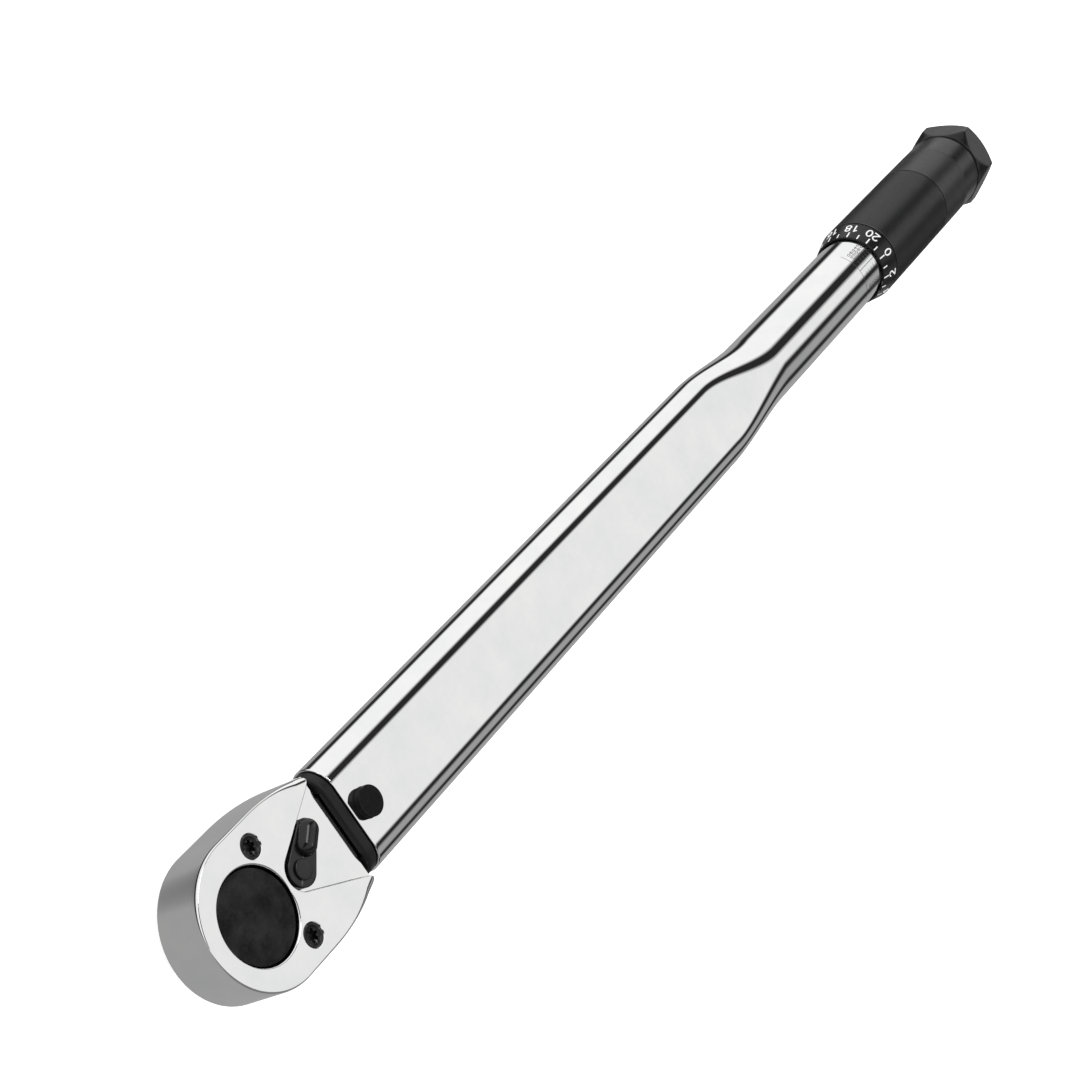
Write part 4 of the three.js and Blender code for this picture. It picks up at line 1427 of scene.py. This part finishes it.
def tube_marks():
    """The main scale: an index line, a ring line and two scales of numbers with their marks."""
    made = Surface()
    proud = (-0.1, 0.02)
    thin = 0.24
    height = 1.9
    stroke = 0.26
    index_turn = 84.4
    ring_x = 440.2
    mark(made, ring_x + 0.1, index_turn, 470, index_turn, thin, round_tube, proud)
    mark(made, ring_x, 45, ring_x, 135, thin, round_tube, proud)
    first = 445.1
    pitch = 2.72
    # Each scale: its highest number, the step down to the next, where it is written, its marks.
    scales = [(250, 22, 58.5, 70, 77), (340, 30, 124, 92, 99)]
    for i in range(9):
        x = first + pitch * i
        mark_x = x - 0.95
        for highest, step, turn, mark_start, mark_end in scales:
            write_number(made, str(highest - step * i), x, turn, height, stroke, round_tube, proud)
            mark(made, mark_x, mark_start, mark_x, mark_end, thin, round_tube, proud)
    return made.mesh("tube_marks")


# ---------- assembly ----------
piece(
    "ratchet_head_detail", ratchet_head(), "head", HEAD_CHROME,
    ["ratchet_head"], 40,
)
piece("cover_plate_detail", cover_plate(), "head", PLATE_STEEL, ["cover_plate"])
for (spot_x, spot_y), side in zip(SCREW_SPOTS, ("left", "right")):
    screw = cover_screw(spot_x, spot_y, "cover_screw_detail_" + side)
    piece(screw.name, screw, "head", BLACK_OXIDE, ["cover_screw_" + side], 40)
piece("drive_gear_detail", drive_gear(), "gear", DISC_OXIDE, ["drive_gear"], 30)
BALL_LOW, BALL_HIGH = span("detent_ball")
BALL_X = (BALL_LOW[0] + BALL_HIGH[0]) / 2
piece(
    "detent_ball_detail", ball(BALL_X, 0, DETENT_Z, DETENT_RADIUS, "detent_ball_detail"),
    "detent_ball", BALL_STEEL, ["detent_ball"],
)
piece(
    "reverse_lever_detail", reverse_lever(), "lever", LEVER_OXIDE,
    ["reverse_lever"], 40,
)
piece("tube_detail", tube_body(), "frame", TUBE_CHROME, ["tube_body"], 30)
piece("pivot_pin_detail", pivot_pin(), "frame", DISC_OXIDE, ["pivot_pin"])
piece("dust_seal_detail", dust_seal(), "frame", RUBBER, ["dust_seal"], 40)
piece("tube_marks", tube_marks(), "frame", ENGRAVED)
piece(
    "scale_thimble_detail", scale_thimble(), "handle", BLACK_SATIN,
    ["scale_thimble"],
)
piece("thimble_marks", thimble_marks(), "handle", WHITE_PAINT)
piece("grip_sleeve_detail", grip_core(), "handle", BLACK_SATIN, ["grip_sleeve"])
# Rings painted black for the shadow in the grip's gaps.
piece("grip_shadow_rings", grip_shadow_rings(), "handle", SHADOW_GAP_BLACK)
piece(
    "grip_band_front", grip_band("grip_band_front", GRIP_START_X, GRIP_GROOVE_X - 0.4, 1.1, 0.3),
    "handle", KNURL_SATIN, (), 60,
)
piece(
    "grip_band_rear",
    grip_band("grip_band_rear", GRIP_GROOVE_X + 0.4, GRIP_BAND_END_X, 0.75, 0.12),
    "handle", KNURL_SATIN, (), 60,
)
piece("lock_knob_detail", lock_knob(), "lock_knob", BLACK_SATIN, ["lock_knob"])

CARRIED = {
    "detent_spring": SPRING_STEEL,
    "plunger_spring": SPRING_STEEL,
    "main_spring": SPRING_STEEL,
    "stop_ring": SPRING_STEEL,
    "rod_guide": NYLON,
    "lever_plunger": BALL_STEEL,
    "thrust_ball": BALL_STEEL,
    "lock_ball_left": BALL_STEEL,
    "lock_ball_right": BALL_STEEL,
    "pawl": STEEL,
    "tilt_block": STEEL,
    "push_rod": TURNED_STEEL,
    "front_spring_seat": TURNED_STEEL,
    "rear_spring_seat": TURNED_STEEL,
    "adjusting_screw": TURNED_STEEL,
    "tube_nut": TURNED_STEEL,
    "nut_pin_left": TURNED_STEEL,
    "nut_pin_right": TURNED_STEEL,
    "sleeve_nut": STEEL,
    "lock_rod": TURNED_STEEL,
}
for node, material in CARRIED.items():
    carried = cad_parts[node]
    carried.data.materials.clear()
    carried.data.materials.append(material)


# ---------- floor, light and camera ----------
EVEN_LIGHT = 1.0
FLOOR_HALF_SIDE = 4000
FLOOR_GAP = 0.2
FLOOR_GLOW = 0.65


def studio_floor():
    made = Surface()
    half = FLOOR_HALF_SIDE
    loop = [(-half, -half), (half, -half), (half, half), (-half, half)]
    row = made.level(loop, -TOP - FLOOR_GAP)
    made.face(*row)
    floor = bpy.data.objects.new("floor", made.mesh("floor"))
    bpy.context.scene.collection.objects.link(floor)
    n = Nodes("floor_paper")
    tone = n.noise(3, 2, 0.5)
    floor.data.materials.append(
        n.finish(n.mix(tone, grey(0.93), grey(0.94)), n.ramp(tone, 0, 1, 0.8, 0.9), 0.0)
    )
    n.shader.inputs["Emission Color"].default_value = (1, 1, 1, 1)
    n.shader.inputs["Emission Strength"].default_value = FLOOR_GLOW
    floor.visible_glossy = False


# Long soft cards beside and over the tool, which only polished metal shows. Each has the turns
# from +Y towards +Z, in degrees, where it starts and ends, and how bright it looks.
CARDS = [
    (-175, -45, 0.6),
    (-30, 60, 0.95),
    (80, 125, 0.9),
    (135, 175, 0.6),
]
CARD_EDGE = 10
ROOM_SHADE = 0.15
CHROME_REFLECTS = 0.84

CAMERA_PLACE = Vector((-354.79, 145.11, 446.80))
CAMERA_AIM = Vector((189.97, 14.81, AXIS_Z))
CAMERA_ROLL = math.radians(65.13)
CAMERA_LENS = 73.08
CAMERA_SENSOR = 36


def light_level(shown):
    """The light that chrome has to see to look this bright."""
    return ((shown + 0.055) / 1.055) ** 2.4 / CHROME_REFLECTS


class Sky(Tree):
    """The node tree of the studio's surroundings."""

    def __init__(self):
        world = bpy.data.worlds.new("studio")
        bpy.context.scene.world = world
        world.use_nodes = True
        self.tree = world.node_tree
        self.back = self.tree.nodes["Background"]
        self.output = self.tree.nodes["World Output"]
        self.direction = self.add("ShaderNodeTexCoord").outputs["Generated"]

    def cards(self, share):
        """The cards round the tool, with soft edges on a dim room."""
        levels = []
        for start, end, shown in CARDS:
            levels.append((start, ROOM_SHADE))
            levels.append((start + CARD_EDGE, shown))
            levels.append((end - CARD_EDGE, shown))
            levels.append((end, ROOM_SHADE))
        node = self.add("ShaderNodeValToRGB")
        stops = node.color_ramp.elements
        while len(stops) < len(levels):
            stops.new(0.5)
        for stop, (angle, shown) in zip(stops, levels):
            stop.position = (angle + 180) / 360
            stop.color = (*grey(light_level(shown)), 1)
        self.link(share, node.inputs["Fac"])
        return node.outputs["Color"]


def studio_sky():
    """Even white light, with long soft cards that only polished metal shows."""
    sky = Sky()
    parts = sky.add("ShaderNodeSeparateXYZ")
    sky.link(sky.direction, parts.inputs["Vector"])
    turn = sky.add("ShaderNodeMath", operation="ARCTAN2")
    sky.link(parts.outputs["Z"], turn.inputs[0])
    sky.link(parts.outputs["Y"], turn.inputs[1])
    share = sky.add("ShaderNodeMath", operation="MULTIPLY_ADD")
    sky.link(turn.outputs["Value"], share.inputs[0])
    share.inputs[1].default_value = 1 / (2 * math.pi)
    share.inputs[2].default_value = 0.5
    sky.link(sky.cards(share.outputs["Value"]), sky.back.inputs["Color"])
    even = sky.add("ShaderNodeBackground")
    even.inputs["Color"].default_value = (*grey(1.0), 1)
    even.inputs["Strength"].default_value = EVEN_LIGHT
    choice = sky.add("ShaderNodeMixShader")
    sky.link(sky.add("ShaderNodeLightPath").outputs["Is Glossy Ray"], choice.inputs["Fac"])
    sky.link(even.outputs["Background"], choice.inputs[1])
    sky.link(sky.back.outputs["Background"], choice.inputs[2])
    sky.link(choice.outputs["Shader"], sky.output.inputs["Surface"])


def soft_light(name, place, aim, size, power):
    lamp = bpy.data.lights.new(name, "AREA")
    lamp.shape = "RECTANGLE"
    lamp.size = size[0]
    lamp.size_y = size[1]
    lamp.energy = power
    made = bpy.data.objects.new(name, lamp)
    made.location = place
    made.rotation_euler = (Vector(aim) - Vector(place)).to_track_quat("-Z", "Y").to_euler()
    bpy.context.scene.collection.objects.link(made)


def camera():
    """It looks down along the tool from beyond the head, rolled round its own view."""
    forward = (CAMERA_AIM - CAMERA_PLACE).normalized()
    right = forward.cross(Vector((0, 0, 1))).normalized()
    up = right.cross(forward)
    up_rolled = up * math.cos(CAMERA_ROLL) - right * math.sin(CAMERA_ROLL)
    right_rolled = forward.cross(up_rolled)
    lens = bpy.data.cameras.new("camera")
    lens.lens = CAMERA_LENS
    lens.sensor_width = CAMERA_SENSOR
    lens.clip_start = 0.01
    lens.clip_end = 50
    made = bpy.data.objects.new("camera", lens)
    turn = Matrix((right_rolled, up_rolled, -forward)).transposed()
    spot = Matrix.Translation((CAMERA_PLACE + Vector((0, 0, TOP))) * MM)
    made.matrix_world = spot @ turn.to_4x4()
    bpy.context.scene.collection.objects.link(made)
    bpy.context.scene.camera = made


studio_floor()
studio_sky()
soft_light("key", place=(0.19, 0.45, 1.1), aim=(0.02, 0, 0), size=(0.4, 0.4), power=2.8)
camera()
bpy.context.scene.view_settings.view_transform = "Standard"
